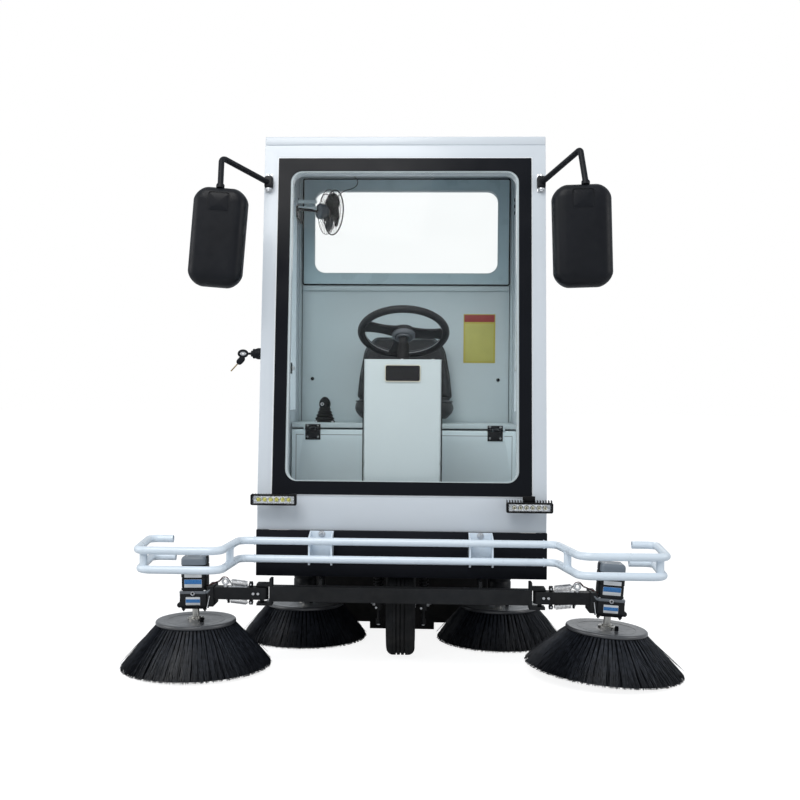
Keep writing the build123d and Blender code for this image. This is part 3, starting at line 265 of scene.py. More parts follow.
class Shape:
    """Grids of points gathered into one mesh. A grid's last three axes are its rows, its columns and x, y,
    z, and axes before those are copies."""

    def __init__(self):
        self.points, self.quads, self.paint, self.values, self.count = [], [], [], [], 0

    def add(self, points, paint=0, rows=False, columns=True, value=0.0):
        """Joins neighbouring points by quads, rows or columns wrapping round where they close."""
        points = np.asarray(points, float)
        points = points.reshape((-1,) + points.shape[-3:])
        copies, high, wide, _ = points.shape
        r = np.arange(high if rows else high - 1)[:, None]
        c = np.arange(wide if columns else wide - 1)[None, :]
        across, up = (c + 1) % wide, (r + 1) % high
        quads = np.stack([r * wide + c, r * wide + across, up * wide + across, up * wide + c], -1)
        quads = quads.reshape(-1, 4)
        starts = self.count + np.arange(copies)[:, None, None] * high * wide
        self.points.append(points.reshape(-1, 3))
        self.quads.append((quads + starts).reshape(-1, 4))
        self.paint.append(np.full(copies * len(quads), paint))
        values = np.broadcast_to(np.asarray(value, float), (copies, high, wide))
        self.values.append(values.reshape(-1))
        self.count += copies * high * wide
        return self

    def lathe(self, paint, place, profile, sides):
        """A profile turned about the place's z axis, with a flat end where it doesn't reach the axis."""
        profile = [tuple(pair) for pair in profile]
        start = [(0, profile[0][1])] if profile[0][0] else []
        stop = [(0, profile[-1][1])] if profile[-1][0] else []
        return self.add(place(turned(start + profile + stop, sides)), paint)

    def loop(self, paint, place, section, sides):
        """A closed section turned about the place's z axis."""
        return self.add(place(turned(section, sides)), paint, rows=True)

    def box(self, paint, low, high, edge=0.001):
        """A box with round edges between two corners."""
        return self.add(block(low, high, edge), paint)

    def slab(self, paint, place, *sizes):
        """A slab across a place's z axis."""
        return self.add(place(slab(*sizes)), paint)

    def ring(self, paint, place, *sizes):
        """A flat frame across a place's z axis."""
        return self.add(place(ring(*sizes)), paint, rows=True)

    def pipe(self, paint, path, radius, *sizes):
        """A round section along a path, with closed ends."""
        return self.add(tube(path, radius, *sizes), paint)

    def hoop(self, paint, path, radius, sides, aside):
        """A round section along a path that closes on itself."""
        return self.add(tube(path, radius, sides, aside, closed=True), paint, rows=True)

    def bolt(self, paint, spot, out, radius, head=HEX_HEAD, sides=6, across=RIGHT):
        """One bolt head at a spot, standing out of the surface."""
        return self.add(bolts(facing(spot, out, across), MIDDLE, radius, head, sides), paint)

    def build(self, name, materials, body, slot=None, replaces=(), smooth=35.0, merge=True):
        """Makes the object: doubles merged, faces turned outwards, sharp where they meet past an angle."""
        mesh = bpy.data.meshes.new(name)
        points, quads = np.concatenate(self.points), np.concatenate(self.quads)
        mesh.vertices.add(len(points))
        mesh.vertices.foreach_set("co", points.astype(np.float32).ravel())
        mesh.loops.add(quads.size)
        mesh.loops.foreach_set("vertex_index", quads.astype(np.int32).ravel())
        mesh.polygons.add(len(quads))
        mesh.polygons.foreach_set("loop_start", np.arange(0, quads.size, 4, dtype=np.int32))
        mesh.polygons.foreach_set("material_index", np.concatenate(self.paint).astype(np.int32))
        along = mesh.attributes.new("along", "FLOAT", "POINT")
        along.data.foreach_set("value", np.concatenate(self.values).astype(np.float32))
        mesh.update(calc_edges=True)
        if merge:
            tidy(mesh)
        mesh.validate()
        return piece(mesh, name, materials, body, replaces, smooth)


def tidy(mesh, distance=2e-6):
    """Merges doubled points and turns every face outwards."""
    made = bmesh.new()
    made.from_mesh(mesh)
    bmesh.ops.remove_doubles(made, verts=made.verts, dist=distance)
    bmesh.ops.dissolve_degenerate(made, edges=made.edges, dist=1e-7)
    bmesh.ops.recalc_face_normals(made, faces=made.faces)
    made.to_mesh(mesh)
    made.free()


def piece(mesh, name, materials, body, replaces, smooth=35.0):
    """An object of this mesh at the origin, with its finishes, riding on its body."""
    made = bpy.data.objects.new(name, mesh)
    bpy.context.scene.collection.objects.link(made)
    for material in materials:
        mesh.materials.append(finish(material))
    mesh.shade_smooth()
    mesh.set_sharp_from_angle(angle=math.radians(smooth))
    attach(made, body)
    if replaces:
        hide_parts(*replaces)
    return made


def rounded_copy(node, name, width, material, body):
    """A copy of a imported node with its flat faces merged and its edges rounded, which stands for the node."""
    mesh = frame["nodes"][node].data.copy()
    mesh.name = name
    mesh.materials.clear()
    made = bmesh.new()
    made.from_mesh(mesh)
    bmesh.ops.remove_doubles(made, verts=made.verts, dist=1e-5)
    bmesh.ops.dissolve_limit(made, angle_limit=math.radians(0.6), verts=made.verts, edges=made.edges)
    sharp = [edge for edge in made.edges if edge.is_manifold and edge.calc_face_angle(0) > math.radians(32)]
    bmesh.ops.bevel(made, geom=sharp, offset=width, segments=2, profile=0.5, affect="EDGES",
        clamp_overlap=True)
    made.to_mesh(mesh)
    made.free()
    mesh.validate()
    return piece(mesh, name, [material], body, [node])


# ---- finishes
class Nodes:
    """A material's node tree, with short ways to add the nodes that the finishes use."""

    def __init__(self, name):
        self.material = bpy.data.materials.new(name)
        self.material.use_nodes = True
        self.tree = self.material.node_tree
        self.tree.nodes.clear()
        self.shader = self.new("ShaderNodeBsdfPrincipled")
        self.output = self.new("ShaderNodeOutputMaterial")
        self.link(self.shader.outputs[0], self.output.inputs["Surface"])
        self.object = self.new("ShaderNodeTexCoord").outputs["Object"]

    def new(self, kind, **values):
        """A node with its own settings and, by name, its inputs' values."""
        node = self.tree.nodes.new(kind)
        for name, value in values.items():
            if hasattr(node, name):
                setattr(node, name, value)
            else:
                node.inputs[name.replace("_", " ")].default_value = value
        return node

    def link(self, output, target):
        """Joins an output to an input."""
        self.tree.links.new(output, target)

    def noise(self, scale, detail=3.0, stretch=(1, 1, 1), distortion=0.0):
        """Noise on the piece's own coordinates, stretched along an axis where its factor is small."""
        mapping = self.new("ShaderNodeMapping", Scale=stretch)
        self.link(self.object, mapping.inputs["Vector"])
        node = self.new("ShaderNodeTexNoise", Scale=scale, Detail=detail, Distortion=distortion)
        self.link(mapping.outputs[0], node.inputs["Vector"])
        return node.outputs["Fac"]

    def spread(self, source, low, high, start=0.3, stop=0.7):
        """The source's range start to stop spread over low to high."""
        node = self.new("ShaderNodeMapRange")
        for name, value in (("From Min", start), ("From Max", stop), ("To Min", low), ("To Max", high)):
            node.inputs[name].default_value = value
        self.link(source, node.inputs["Value"])
        return node.outputs[0]

    def blend(self, factor, first, second):
        """Two colours, or outputs, mixed by a factor."""
        node = self.new("ShaderNodeMix", data_type="RGBA")
        for socket, value in ((node.inputs[6], first), (node.inputs[7], second)):
            if isinstance(value, bpy.types.NodeSocket):
                self.link(value, socket)
            else:
                socket.default_value = (*value, 1)
        if isinstance(factor, float):
            node.inputs[0].default_value = factor
        else:
            self.link(factor, node.inputs[0])
        return node.outputs[2]

    def bump(self, height, distance, strength=0.6):
        """Raises the surface by a height that is drawn in shading."""
        node = self.new("ShaderNodeBump", Strength=strength, Distance=distance)
        self.link(height, node.inputs["Height"])
        self.link(node.outputs[0], self.shader.inputs["Normal"])

    def height_above_floor(self):
        """The height of the point, as an output."""
        node = self.new("ShaderNodeSeparateXYZ")
        self.link(self.object, node.inputs[0])
        return node.outputs["Z"]

    def set(self, **values):
        """Inputs of the shader by name."""
        for name, value in values.items():
            socket = self.shader.inputs[name.replace("_", " ")]
            socket.default_value = (*value, 1) if isinstance(value, tuple) else value


def shade(colour, factor):
    """The colour times a factor, at most 1."""
    return tuple(min(1.0, part * factor) for part in colour)


def coated(nodes, colour, rough, vary=0.07, cloud=3.0, grain=900.0, depth=0.00008, dusty=0.0, spec=0.5):
    """A painted or moulded skin: two close shades in broad clouds, roughness that follows them, a fine
    grain, and dust that thickens towards the floor."""
    cloud_noise = nodes.noise(cloud, 4.0)
    base = nodes.blend(nodes.spread(cloud_noise, 0, 1), shade(colour, 1 - vary), shade(colour, 1 + vary))
    if dusty:
        low = nodes.spread(nodes.height_above_floor(), dusty, 0.0, 0.0, 0.45)
        speck = nodes.new("ShaderNodeMath", operation="MULTIPLY")
        nodes.link(low, speck.inputs[0])
        nodes.link(nodes.spread(nodes.noise(26.0, 6.0), 0.2, 1.0), speck.inputs[1])
        base = nodes.blend(speck.outputs[0], base, (0.2, 0.19, 0.17))
    nodes.link(base, nodes.shader.inputs["Base Color"])
    nodes.link(nodes.spread(nodes.noise(cloud * 4, 3.0), rough - 0.06, rough + 0.07),
        nodes.shader.inputs["Roughness"])
    nodes.bump(nodes.noise(grain, 2.0), depth)
    nodes.set(Specular_IOR_Level=spec)


def metal(nodes, colour, rough, stretch=(1, 1, 1), scale=60.0):
    """Bare metal: fine brush marks along the stretched axis in colour, roughness and bump."""
    marks = nodes.noise(scale, 4.0, stretch)
    nodes.link(nodes.blend(nodes.spread(marks, 0, 1), shade(colour, 0.82), shade(colour, 1.1)),
        nodes.shader.inputs["Base Color"])
    nodes.link(nodes.spread(marks, rough - 0.08, rough + 0.12), nodes.shader.inputs["Roughness"])
    nodes.bump(marks, 0.00006)
    nodes.set(Metallic=1.0)


def bristle_fibre(nodes, paint):
    """Nylon fibre, darker towards the tips, which the along attribute gives."""
    tip = nodes.new("ShaderNodeAttribute", attribute_name="along").outputs["Fac"]
    base = nodes.blend(nodes.spread(nodes.noise(60.0, 3.0), 0, 1), shade(tuple(paint.bristle), 0.7),
        shade(tuple(paint.bristle), 2.2))
    # towards the tips the colour goes to a third of the bristle colour
    dust = nodes.blend(nodes.spread(tip, 0.0, 0.6, 0.45, 1.0), base, shade(tuple(paint.bristle), 0.35))
    nodes.link(dust, nodes.shader.inputs["Base Color"])
    nodes.link(nodes.spread(nodes.noise(90.0), 0.34, 0.52), nodes.shader.inputs["Roughness"])
    nodes.bump(nodes.noise(1400.0, 2.0, (1, 1, 0.1)), 0.0001, 0.4)
    nodes.set(Specular_IOR_Level=0.3)


def vinyl(nodes, paint):
    """Grained upholstery: the cells of a Voronoi pattern as leather grain, over broad clouds of wear."""
    coated(nodes, tuple(paint.seat), 0.5, 0.18, 10.0, 900.0, 0.0002, spec=0.3)
    mapping = nodes.new("ShaderNodeMapping", Scale=(1, 1, 1))
    nodes.link(nodes.object, mapping.inputs["Vector"])
    cells = nodes.new("ShaderNodeTexVoronoi", Scale=420.0, feature="DISTANCE_TO_EDGE")
    nodes.link(mapping.outputs[0], cells.inputs["Vector"])
    nodes.bump(nodes.spread(cells.outputs["Distance"], 0, 1, 0.0, 0.18), 0.00025, 0.7)
    nodes.set(Sheen_Weight=0.1)


# colour, or a paint setting's name, or its name and factor; then roughness, variation, cloud scale,
# grain scale, grain depth, and for some the height that dust reaches
COATED = {
    "white_paint": ("body", 0.34, 0.025, 1.6, 420.0, 0.00005),
    "inner_paint": ("inner", 0.42, 0.03, 2.2, 380.0, 0.00006),
    "tube_paint": ("tube", 0.3, 0.035, 5.0, 520.0, 0.00006),
    "black_steel": ("frame", 0.46, 0.22, 6.0, 700.0, 0.00008, 0.1),
    "skirt_black": ("skirt", 0.42, 0.18, 3.0, 700.0, 0.00006),
    "frit_black": ("frit", 0.2, 0.12, 2.0, 300.0, 0.00001),
    "black_plastic": ("plastic", 0.42, 0.14, 9.0, 1500.0, 0.00012),
    "gloss_plastic": ("disc", 0.34, 0.16, 11.0, 500.0, 0.0001, 0.08),
    "black_rubber": ("rubber", 0.62, 0.2, 12.0, 1100.0, 0.00012, 0.08),
    "tyre_rubber": ("tyre", 0.66, 0.25, 16.0, 900.0, 0.0002, 0.12),
    # a third of the bristle colour: painted shade inside the brushes, and the black of the disc's knob
    "bristle_core": (("bristle", 0.3), 0.8, 0.3, 30.0, 600.0, 0.0004),
    "cast_grey": ("cast", 0.4, 0.1, 18.0, 700.0, 0.00025),
    "gear_black": ("motor", 0.38, 0.2, 14.0, 650.0, 0.00022),
    "cap_grey": ("cap", 0.4, 0.08, 10.0, 700.0, 0.0001),
    "plate_blue": ((0.028, 0.16, 0.42), 0.3, 0.1, 30.0, 500.0, 0.00002),
    "card_yellow": ((0.52, 0.44, 0.075), 0.5, 0.05, 12.0, 500.0, 0.00003),
    "card_red": ((0.34, 0.045, 0.04), 0.5, 0.05, 12.0, 500.0, 0.00003),
    "badge_black": ((0.01, 0.01, 0.012), 0.35, 0.05, 14.0, 900.0, 0.00001),
    "badge_pale": ((0.6, 0.58, 0.48), 0.36, 0.08, 14.0, 500.0, 0.00003),
    # paler than the body paint: a painted highlight along the windscreen frame's edge
    "pale_seam": ((0.82, 0.85, 0.88), 0.4, 0.04, 14.0, 500.0, 0.00003),
    "floor_mat": ((0.045, 0.046, 0.048), 0.7, 0.2, 8.0, 260.0, 0.0006),
    "rim_grey": ((0.3, 0.31, 0.325), 0.4, 0.1, 9.0, 600.0, 0.0001, 0.2),
    "battery_grey": ((0.05, 0.055, 0.06), 0.5, 0.1, 9.0, 600.0, 0.0001),
    "lamp_grey": ((0.008, 0.008, 0.009), 0.36, 0.15, 14.0, 700.0, 0.00012),
    "led_yellow": ((0.62, 0.58, 0.1), 0.35, 0.3, 160.0, 900.0, 0.0002),
    "led_pale": ((0.58, 0.55, 0.4), 0.35, 0.3, 160.0, 900.0, 0.0002),
    "red_lens": ((0.42, 0.012, 0.012), 0.18, 0.12, 40.0, 240.0, 0.0004),
    "amber_lens": ((0.6, 0.2, 0.015), 0.18, 0.12, 40.0, 240.0, 0.0004),
    "red_lead": ((0.1, 0.012, 0.014), 0.45, 0.2, 60.0, 700.0, 0.00004),
    "motor_grey": ((0.06, 0.075, 0.095), 0.4, 0.12, 20.0, 700.0, 0.00005),
    # the inner paint made darker for the steering column: painted shade
    "column_paint": (("inner", 0.86), 0.34, 0.03, 2.0, 420.0, 0.00005),
    # the inner paint made about half again lighter for the battery box low in the cab: painted light
    "box_paint": (("inner", 1.46), 0.42, 0.03, 2.2, 380.0, 0.00006),
    "grip_foam": ((0.013, 0.014, 0.017), 0.45, 0.18, 20.0, 1300.0, 0.00012),
    "gloss_black": ((0.008, 0.008, 0.01), 0.25, 0.2, 20.0, 600.0, 0.00004),
    # the seat vinyl a quarter lighter for the piping: a painted highlight
    "vinyl_edge": (("seat", 1.25), 0.42, 0.15, 40.0, 1100.0, 0.00008),
    "lead_sheath": ((0.022, 0.016, 0.017), 0.45, 0.2, 60.0, 900.0, 0.00004),
    "guard_wire": ((0.016, 0.013, 0.014), 0.35, 0.2, 60.0, 900.0, 0.00003),
    # grey-blue band of the rear window, lighter than its own colour to offset the ceiling's shade: painted
    # light
    "band_grey": ((0.47, 0.6, 0.65), 0.3, 0.1, 3.0, 300.0, 0.00002),
    "card_paper": ((0.52, 0.49, 0.13), 0.55, 0.06, 20.0, 500.0, 0.00003),
    "seam_grey": (("inner", 0.42), 0.5, 0.1, 12.0, 500.0, 0.00003),
    "screw_grey": ((0.26, 0.27, 0.28), 0.4, 0.1, 60.0, 700.0, 0.00003),
}
SPECULAR = {"black_steel": 0.16, "skirt_black": 0.1, "frit_black": 0.12, "black_plastic": 0.22,
    "black_rubber": 0.15, "tyre_rubber": 0.15, "bristle_core": 0.05, "gear_black": 0.22, "badge_black": 0.2,
    "floor_mat": 0.15, "lamp_grey": 0.15, "red_lead": 0.3, "grip_foam": 0.35, "gloss_black": 0.25,
    "vinyl_edge": 0.4, "lead_sheath": 0.3, "guard_wire": 0.35}
# further inputs of the shader
LACQUER = {"Coat_Weight": 0.25, "Coat_Roughness": 0.12}
LENS = {"Coat_Weight": 0.6, "Coat_Roughness": 0.06}
INPUTS = {
    "white_paint": LACQUER, "column_paint": LACQUER, "red_lens": LENS, "amber_lens": LENS,
    "tube_paint": {"Coat_Weight": 0.35, "Coat_Roughness": 0.15},
    "gloss_plastic": {"Coat_Weight": 0.5, "Coat_Roughness": 0.16},
    "cast_grey": {"Metallic": 0.35},
}
# colour, roughness, stretch of the brush marks, their scale
METALS = {
    "bright_steel": ((0.62, 0.61, 0.58), 0.3, (1, 1, 1), 60.0),
    "zinc": ((0.7, 0.71, 0.73), 0.34, (1, 1, 1), 140.0),
    "plate_silver": ((0.74, 0.76, 0.78), 0.38, (0.15, 1, 1), 90.0),
    "hopper_steel": ((0.46, 0.47, 0.48), 0.45, (1, 1, 0.06), 40.0),
    "lamp_mirror": ((0.8, 0.81, 0.83), 0.22, (1, 1, 1), 200.0),
    "mirror_glass": ((0.84, 0.86, 0.88), 0.1, (1, 1, 1), 4.0),
    "brass": ((0.48, 0.36, 0.2), 0.36, (1, 1, 1), 200.0),
}


def mix_shaders(tree, share, first, second):
    """A shader that goes from the first to the second as the share goes from 0 to 1."""
    mix = tree.nodes.new("ShaderNodeMixShader")
    for number, output in enumerate((share, first, second)):
        tree.links.new(output, mix.inputs[number])
    return mix.outputs[0]


def glass(nodes, tint, smear, dull, bright, rough, bend):
    """Glass smeared between two shades. Lamps' rays pass through it as through a clear tinted film."""
    nodes.link(nodes.blend(nodes.spread(smear, 0, 1), dull, bright), nodes.shader.inputs["Base Color"])
    nodes.set(Roughness=rough, Transmission_Weight=1.0, IOR=bend)
    path = nodes.new("ShaderNodeLightPath")
    clear = nodes.new("ShaderNodeBsdfTransparent")
    clear.inputs["Color"].default_value = (*tint, 1)
    mix = mix_shaders(nodes.tree, path.outputs["Is Shadow Ray"], nodes.shader.outputs[0], clear.outputs[0])
    nodes.link(mix, nodes.output.inputs["Surface"])


def window_glass(nodes, paint):
    """Clear sheet of the windscreen and rear window, bent little so that the cab shows where it is."""
    tint = tuple(paint.glass)
    smear = nodes.noise(2.2, 5.0, (1, 1, 2))
    glass(nodes, tint, smear, shade(tint, 0.99), shade(tint, 1.005), 0.0, 1.16)


def door_glass(nodes, paint):
    """The doors' sheet, a little greener."""
    tint = tuple(paint.glass[i] * (0.8, 0.88, 0.9)[i] for i in range(3))
    smear = nodes.noise(2.0, 5.0, (1, 1, 2))
    glass(nodes, tint, smear, shade(tint, 0.99), tint, 0.0, 1.16)


def lens_glass(nodes, paint):
    """Clear lens of the lamps."""
    glass(nodes, (0.96, 0.97, 0.98), nodes.noise(40.0), (0.93, 0.95, 0.96), (0.98, 0.99, 1.0), 0.02, 1.45)


SPECIAL = {"bristle_fibre": bristle_fibre, "vinyl": vinyl, "window_glass": window_glass,
    "door_glass": door_glass, "lens_glass": lens_glass}


def setting(paint, colour):
    """A colour as it is, or a paint setting's by name, or a setting's made lighter or darker by a factor."""
    if isinstance(colour, str):
        return tuple(getattr(paint, colour))
    return shade(tuple(getattr(paint, colour[0])), colour[1]) if isinstance(colour[0], str) else colour


def finish(name):
    """The material of this name, made the first time that it is asked for."""
    found = bpy.data.materials.get(name)
    if found:
        return found
    nodes, paint = Nodes(name), bpy.context.scene.sweeper_paint
    if name in COATED:
        colour, *grain = COATED[name]
        coated(nodes, setting(paint, colour), *grain, spec=SPECULAR.get(name, 0.5))
        nodes.set(**INPUTS.get(name, {}))
    elif name in METALS:
        metal(nodes, *METALS[name])
    else:
        SPECIAL[name](nodes, paint)
    return nodes.material


# ---- properties
def colour(name, default):
    """A colour that the panel shows."""
    return FloatVectorProperty(name=name, description=f"{name} colour", subtype="COLOR", size=3, min=0.0,
        max=1.0, default=default)


def length(name, description, default):
    """A length in metres that the panel shows."""
    return FloatProperty(name=name, description=description, default=default, unit="LENGTH", precision=4)


def angle(name, description, degrees):
    """An angle that the panel shows, given here in degrees."""
    return FloatProperty(name=name, description=description, default=math.radians(degrees), unit="ROTATION")


class PaintSettings(bpy.types.PropertyGroup):
    """Base colours of the finishes."""
    body: colour("Body paint", (0.63, 0.68, 0.735))
    inner: colour("Inner panels", (0.53, 0.605, 0.635))
    tube: colour("Bumper tube", (0.7, 0.79, 0.88))
    frame: colour("Frame steel", (0.01, 0.011, 0.013))
    skirt: colour("Skirt", (0.009, 0.01, 0.014))
    frit: colour("Window band", (0.006, 0.007, 0.01))
    plastic: colour("Black plastic", (0.006, 0.007, 0.01))
    disc: colour("Brush disc", (0.06, 0.063, 0.07))
    rubber: colour("Rubber", (0.012, 0.012, 0.013))
    tyre: colour("Tyre", (0.007, 0.008, 0.01))
    bristle: colour("Bristles", (0.013, 0.015, 0.02))
    cast: colour("Cast plate", (0.15, 0.165, 0.185))
    motor: colour("Motor and gearbox", (0.01, 0.011, 0.013))
    cap: colour("Motor cap", (0.15, 0.18, 0.215))
    seat: colour("Seat vinyl", (0.022, 0.023, 0.026))
    glass: colour("Window glass", (0.975, 0.99, 0.99))


class StageSettings(bpy.types.PropertyGroup):
    """Camera, lamps and floor."""
    eye: FloatVectorProperty(name="Eye", description="Where the camera stands", subtype="TRANSLATION", size=3,
        default=(0.0518, -4.8515, 1.0204))
    yaw: angle("Yaw", "Turn of the view to the left", 2.3)
    pitch: angle("Pitch", "Tilt of the view, negative when it looks down", -0.84)
    roll: angle("Roll", "Turn of the picture about the view's own axis", 0.47)
    lens: FloatProperty(name="Lens", description="Focal length for a 36 mm sensor, in mm", default=47.94)
    shift_x: FloatProperty(name="Shift X", description="Sideways shift of the picture", default=0.0339)
    shift_y: FloatProperty(name="Shift Y", description="Upward shift of the picture", default=0.0157)
    sky: FloatProperty(name="Sky", description="Strength of the even light from all round", default=0.55)
    key: FloatProperty(name="Key lamp", description="Power of the lamp above the front", default=138.0,
        unit="POWER")
    fill: FloatProperty(name="Fill lamp", description="Power of each side lamp", default=45.0, unit="POWER")


class BrushSettings(bpy.types.PropertyGroup):
    """Side brushes and the roller."""
    disc_thick: length("Disc thickness", "Height of the moulded disc", 0.015)
    flange: length("Flange radius", "Radius of the steel flange on the disc", 0.032)
    shaft: length("Shaft radius", "Radius of the drive shaft", 0.013)
    fibre: length("Fibre radius", "Radius of one bristle", 0.00115)
    wave: length("Wave", "How far a bristle wanders sideways", 0.004)
    tufts: IntProperty(name="Tufts", description="Tufts in the outer ring of a side brush", default=72, min=8)
    fibres: IntProperty(name="Fibres", description="Bristles in one tuft", default=22, min=3)
    stray: length("Stray", "How far a stray bristle stands out at its tip", 0.006)
    roller_rows: IntProperty(name="Roller rows", description="Rows of tufts round the roller", default=26,
        min=6)


# ---- side brushes and roller
def fibres(place, starts, stops, azimuths, bow, sizes, seed):
    """Bristles from their roots to their tips. Each is the straight line from root to tip, pushed outwards by
    bow times share times (1 - share), plus a sine wave across it that grows with the share."""
    random = np.random.default_rng(seed)
    share = np.linspace(0, 1, 6)
    line = starts[:, None] + (stops - starts)[:, None] * share[:, None]
    outward = np.stack([np.cos(azimuths), np.sin(azimuths), 0 * azimuths], -1)[:, None]
    sideways = np.stack([-np.sin(azimuths), np.cos(azimuths), 0 * azimuths], -1)[:, None]
    phase = random.uniform(0, 2 * np.pi, (len(starts), 1))
    pace = random.uniform(0.6, 1.5, (len(starts), 1))
    wave = sizes.wave * share * np.sin(2 * np.pi * pace * share + phase)
    push = bow * share * (1 - share) + sizes.wave * 0.5 * share * np.cos(2 * np.pi * pace * share + phase)
    path = line + push[..., None] * outward + wave[..., None] * sideways
    radius = np.broadcast_to(sizes.fibre * (1 - 0.35 * share), path.shape[:2])
    points = tube(place(path), radius, 3)
    along = np.concatenate([[0], share, [1]])
    return points, np.broadcast_to(along[:, None], points.shape[-3:-1])


def side_brush(name, sizes, seed):
    """One side brush: a dished disc with its steel flange and shaft, rings of tufts, and between them a dark
    heart that stands in for the inner bristles, painted far darker than they are as their shade. A tuft's
    bristles start close together at the disc and fan out towards the tips."""
    place = hub(f"{name[:5]}_brush_spin_{name[6:-6]}")
    low, high = ends(name)
    tip = (high[1] - low[1]) / 2
    lean = math.acos(np.clip(place.z[2], -1, 1))
    drop = (place.origin[2] - low[2] - tip * math.sin(lean)) / math.cos(lean)
    disc = DISC_RADIUS[name[:5]]
    thick, lip = sizes.disc_thick, 0.0075
    shape = Shape()
    top = [(0, -0.001), (sizes.flange, -0.001), (sizes.flange + 0.012, -0.004), (disc * 0.62, -0.0045),
        (disc * 0.8, -0.0015), (disc - lip - 0.004, 0.0)]
    rim = arc((disc - lip, -lip), lip, 80, 0, 6)
    shape.add(place(turned(top + [tuple(p) for p in rim] + [(disc, 0.004 - thick), (disc - 0.004, -thick),
        (0, -thick)], 96)))
    ribs = turned([(disc * 0.7, -0.004), (disc * 0.71, -0.0022), (disc * 0.72, -0.0022), (disc * 0.73,
        -0.0035)], 96)
    shape.add(place(ribs))
    flange = [(0, 0.0062), (0.019, 0.0062), (0.0205, 0.005), (sizes.flange - 0.001, 0.005), (sizes.flange,
        0.004), (sizes.flange, -0.002), (0, -0.002)]
    shape.add(place(turned(flange, 40)), 1)
    collar = [(0, 0.0447), (sizes.shaft - 0.001, 0.0447), (sizes.shaft, 0.0437), (sizes.shaft, 0.012),
        (0.0175, 0.012), (0.0185, 0.011), (0.0185, 0.005), (0, 0.005)]
    shape.add(place(turned(collar, 28)), 1)
    spots = around(0.0252, (20, 110, 200, 290))
    shape.add(bolts(place.moved(z=0.005), spots, 0.0042), 1)
    keeper = place.moved(x=0.03, y=-0.036, z=-0.004)
    shape.lathe(2, keeper, mm("7.5 0, 7.5 10, 6.2 16, 0 17"), 16)
    root = disc * 0.93
    # dark shell inside the tuft rings, painted as the shade among the bristles
    heart = [(root * 0.66, 0.002 - thick), (root * 0.99, 0.002 - thick), (tip * 0.955, -drop * 0.975),
        (tip * 0.7, -drop * 0.96)]
    shape.add(place(turned(heart, 64)), 2, rows=True)
    random = np.random.default_rng(seed)
    for number, (start, stop, share) in enumerate(((1.0, 1.0, 1.0), (0.9, 0.93, 0.8), (0.78, 0.85, 0.55))):
        tufts = int(sizes.tufts * share)
        middle = np.repeat((np.arange(tufts) + 0.5 * (number % 2)) * 2 * np.pi / tufts, sizes.fibres)
        pitch = 2 * np.pi / tufts
        spread = random.uniform(-0.5, 0.5, middle.shape)
        root_turn = middle + spread * pitch * 0.46
        tip_turn = middle + spread * pitch * 0.78 + random.normal(0, 0.01, middle.shape)
        root_radius = root * start + random.uniform(-0.004, 0.004, middle.shape)
        tip_radius = tip * stop - np.abs(random.normal(0, 0.006, middle.shape))
        stray = random.uniform(0, 1, middle.shape) > 0.992
        tip_radius = tip_radius + stray * sizes.stray * random.uniform(0.3, 1.0, middle.shape)
        tip_height = -drop + np.abs(random.normal(0, 0.0035, middle.shape)) + stray * 0.014
        starts = np.stack([root_radius * np.cos(root_turn), root_radius * np.sin(root_turn),
            np.full(middle.shape, 0.003 - thick)], -1)
        stops = np.stack([tip_radius * np.cos(tip_turn), tip_radius * np.sin(tip_turn), tip_height], -1)
        points, along = fibres(place, starts, stops, middle, 0.012, sizes, seed + number)
        shape.add(points, 3, value=along)
    body = f"{name[:5]}_brush_{name[6:-6]}"
    return shape.build(name.replace("_brush", "_sweeping_brush"), ["gloss_plastic", "bright_steel",
        "bristle_core", "bristle_fibre"], body, "disc", [name])


DISC_RADIUS = {"outer": 0.15, "inner": 0.166}


def roller_brush(sizes):
    """The roller: a core with rows of tufts that wind round it, each fanned along the roller. A tuft's turn
    is its row's angle plus a share of its place along the roller, so the rows wind."""
    place = hub("roller_spin")
    low, high = ends("roller_brush")
    half, radius = (high[0] - low[0]) / 2 - 0.035, (high[2] - low[2]) / 2
    random = np.random.default_rng(9)
    shape = Shape()
    core, axle = 0.072, 0.0125
    shape.lathe(0, place, [(axle, -half - 0.02), (axle, -half - 0.001), (core - 0.004, -half),
        (core, 0.004 - half), (core, half - 0.004), (core - 0.004, half), (axle, half + 0.001),
        (axle, half + 0.02)], 40)
    # dark shell between the core and the tufts' tips, painted as the shade among the bristles
    shape.loop(1, place, [(radius * 0.8, 0.012 - half), (radius * 0.8, half - 0.012), (core, half - 0.004),
        (core, 0.004 - half)], 48)
    columns, each = 30, 7
    row = np.repeat(np.arange(sizes.roller_rows), columns * each)
    column = np.tile(np.repeat(np.arange(columns), each), sizes.roller_rows)
    along = (column + 0.5 * (row % 2)) / (columns - 0.5) * 2 - 1
    turn = 2 * np.pi * row / sizes.roller_rows + 0.9 * along + random.normal(0, 0.02, row.shape)
    tip_turn = turn + random.normal(0, 0.05, row.shape)
    x = along * (half - 0.016)
    tip_x = np.clip(x + random.normal(0, 0.006, row.shape), -half, half)
    reach = radius - np.abs(random.normal(0, 0.0035, row.shape)) - 0.001
    starts = np.stack([core * np.cos(turn), core * np.sin(turn), x], -1)
    stops = np.stack([reach * np.cos(tip_turn), reach * np.sin(tip_turn), tip_x], -1)
    points, value = fibres(place, starts, stops, turn, 0.0, sizes, 21)
    shape.add(points, 2, value=value)
    return shape.build("sweeping_roller", ["black_steel", "bristle_core", "bristle_fibre"], "roller",
        "roller", ["roller_brush"])


class SWEEPER_OT_brushes(bpy.types.Operator):
    """Side brushes with their discs and bristles, and the roller"""
    bl_idname = "sweeper.brushes"
    bl_label = "Brushes"

    def execute(self, context):
        sizes = context.scene.sweeper_brush
        for number, name in enumerate(("outer_left_brush", "outer_right_brush", "inner_left_brush",
                "inner_right_brush")):
            side_brush(name, sizes, 40 + 7 * number)
        roller_brush(sizes)
        return {"FINISHED"}


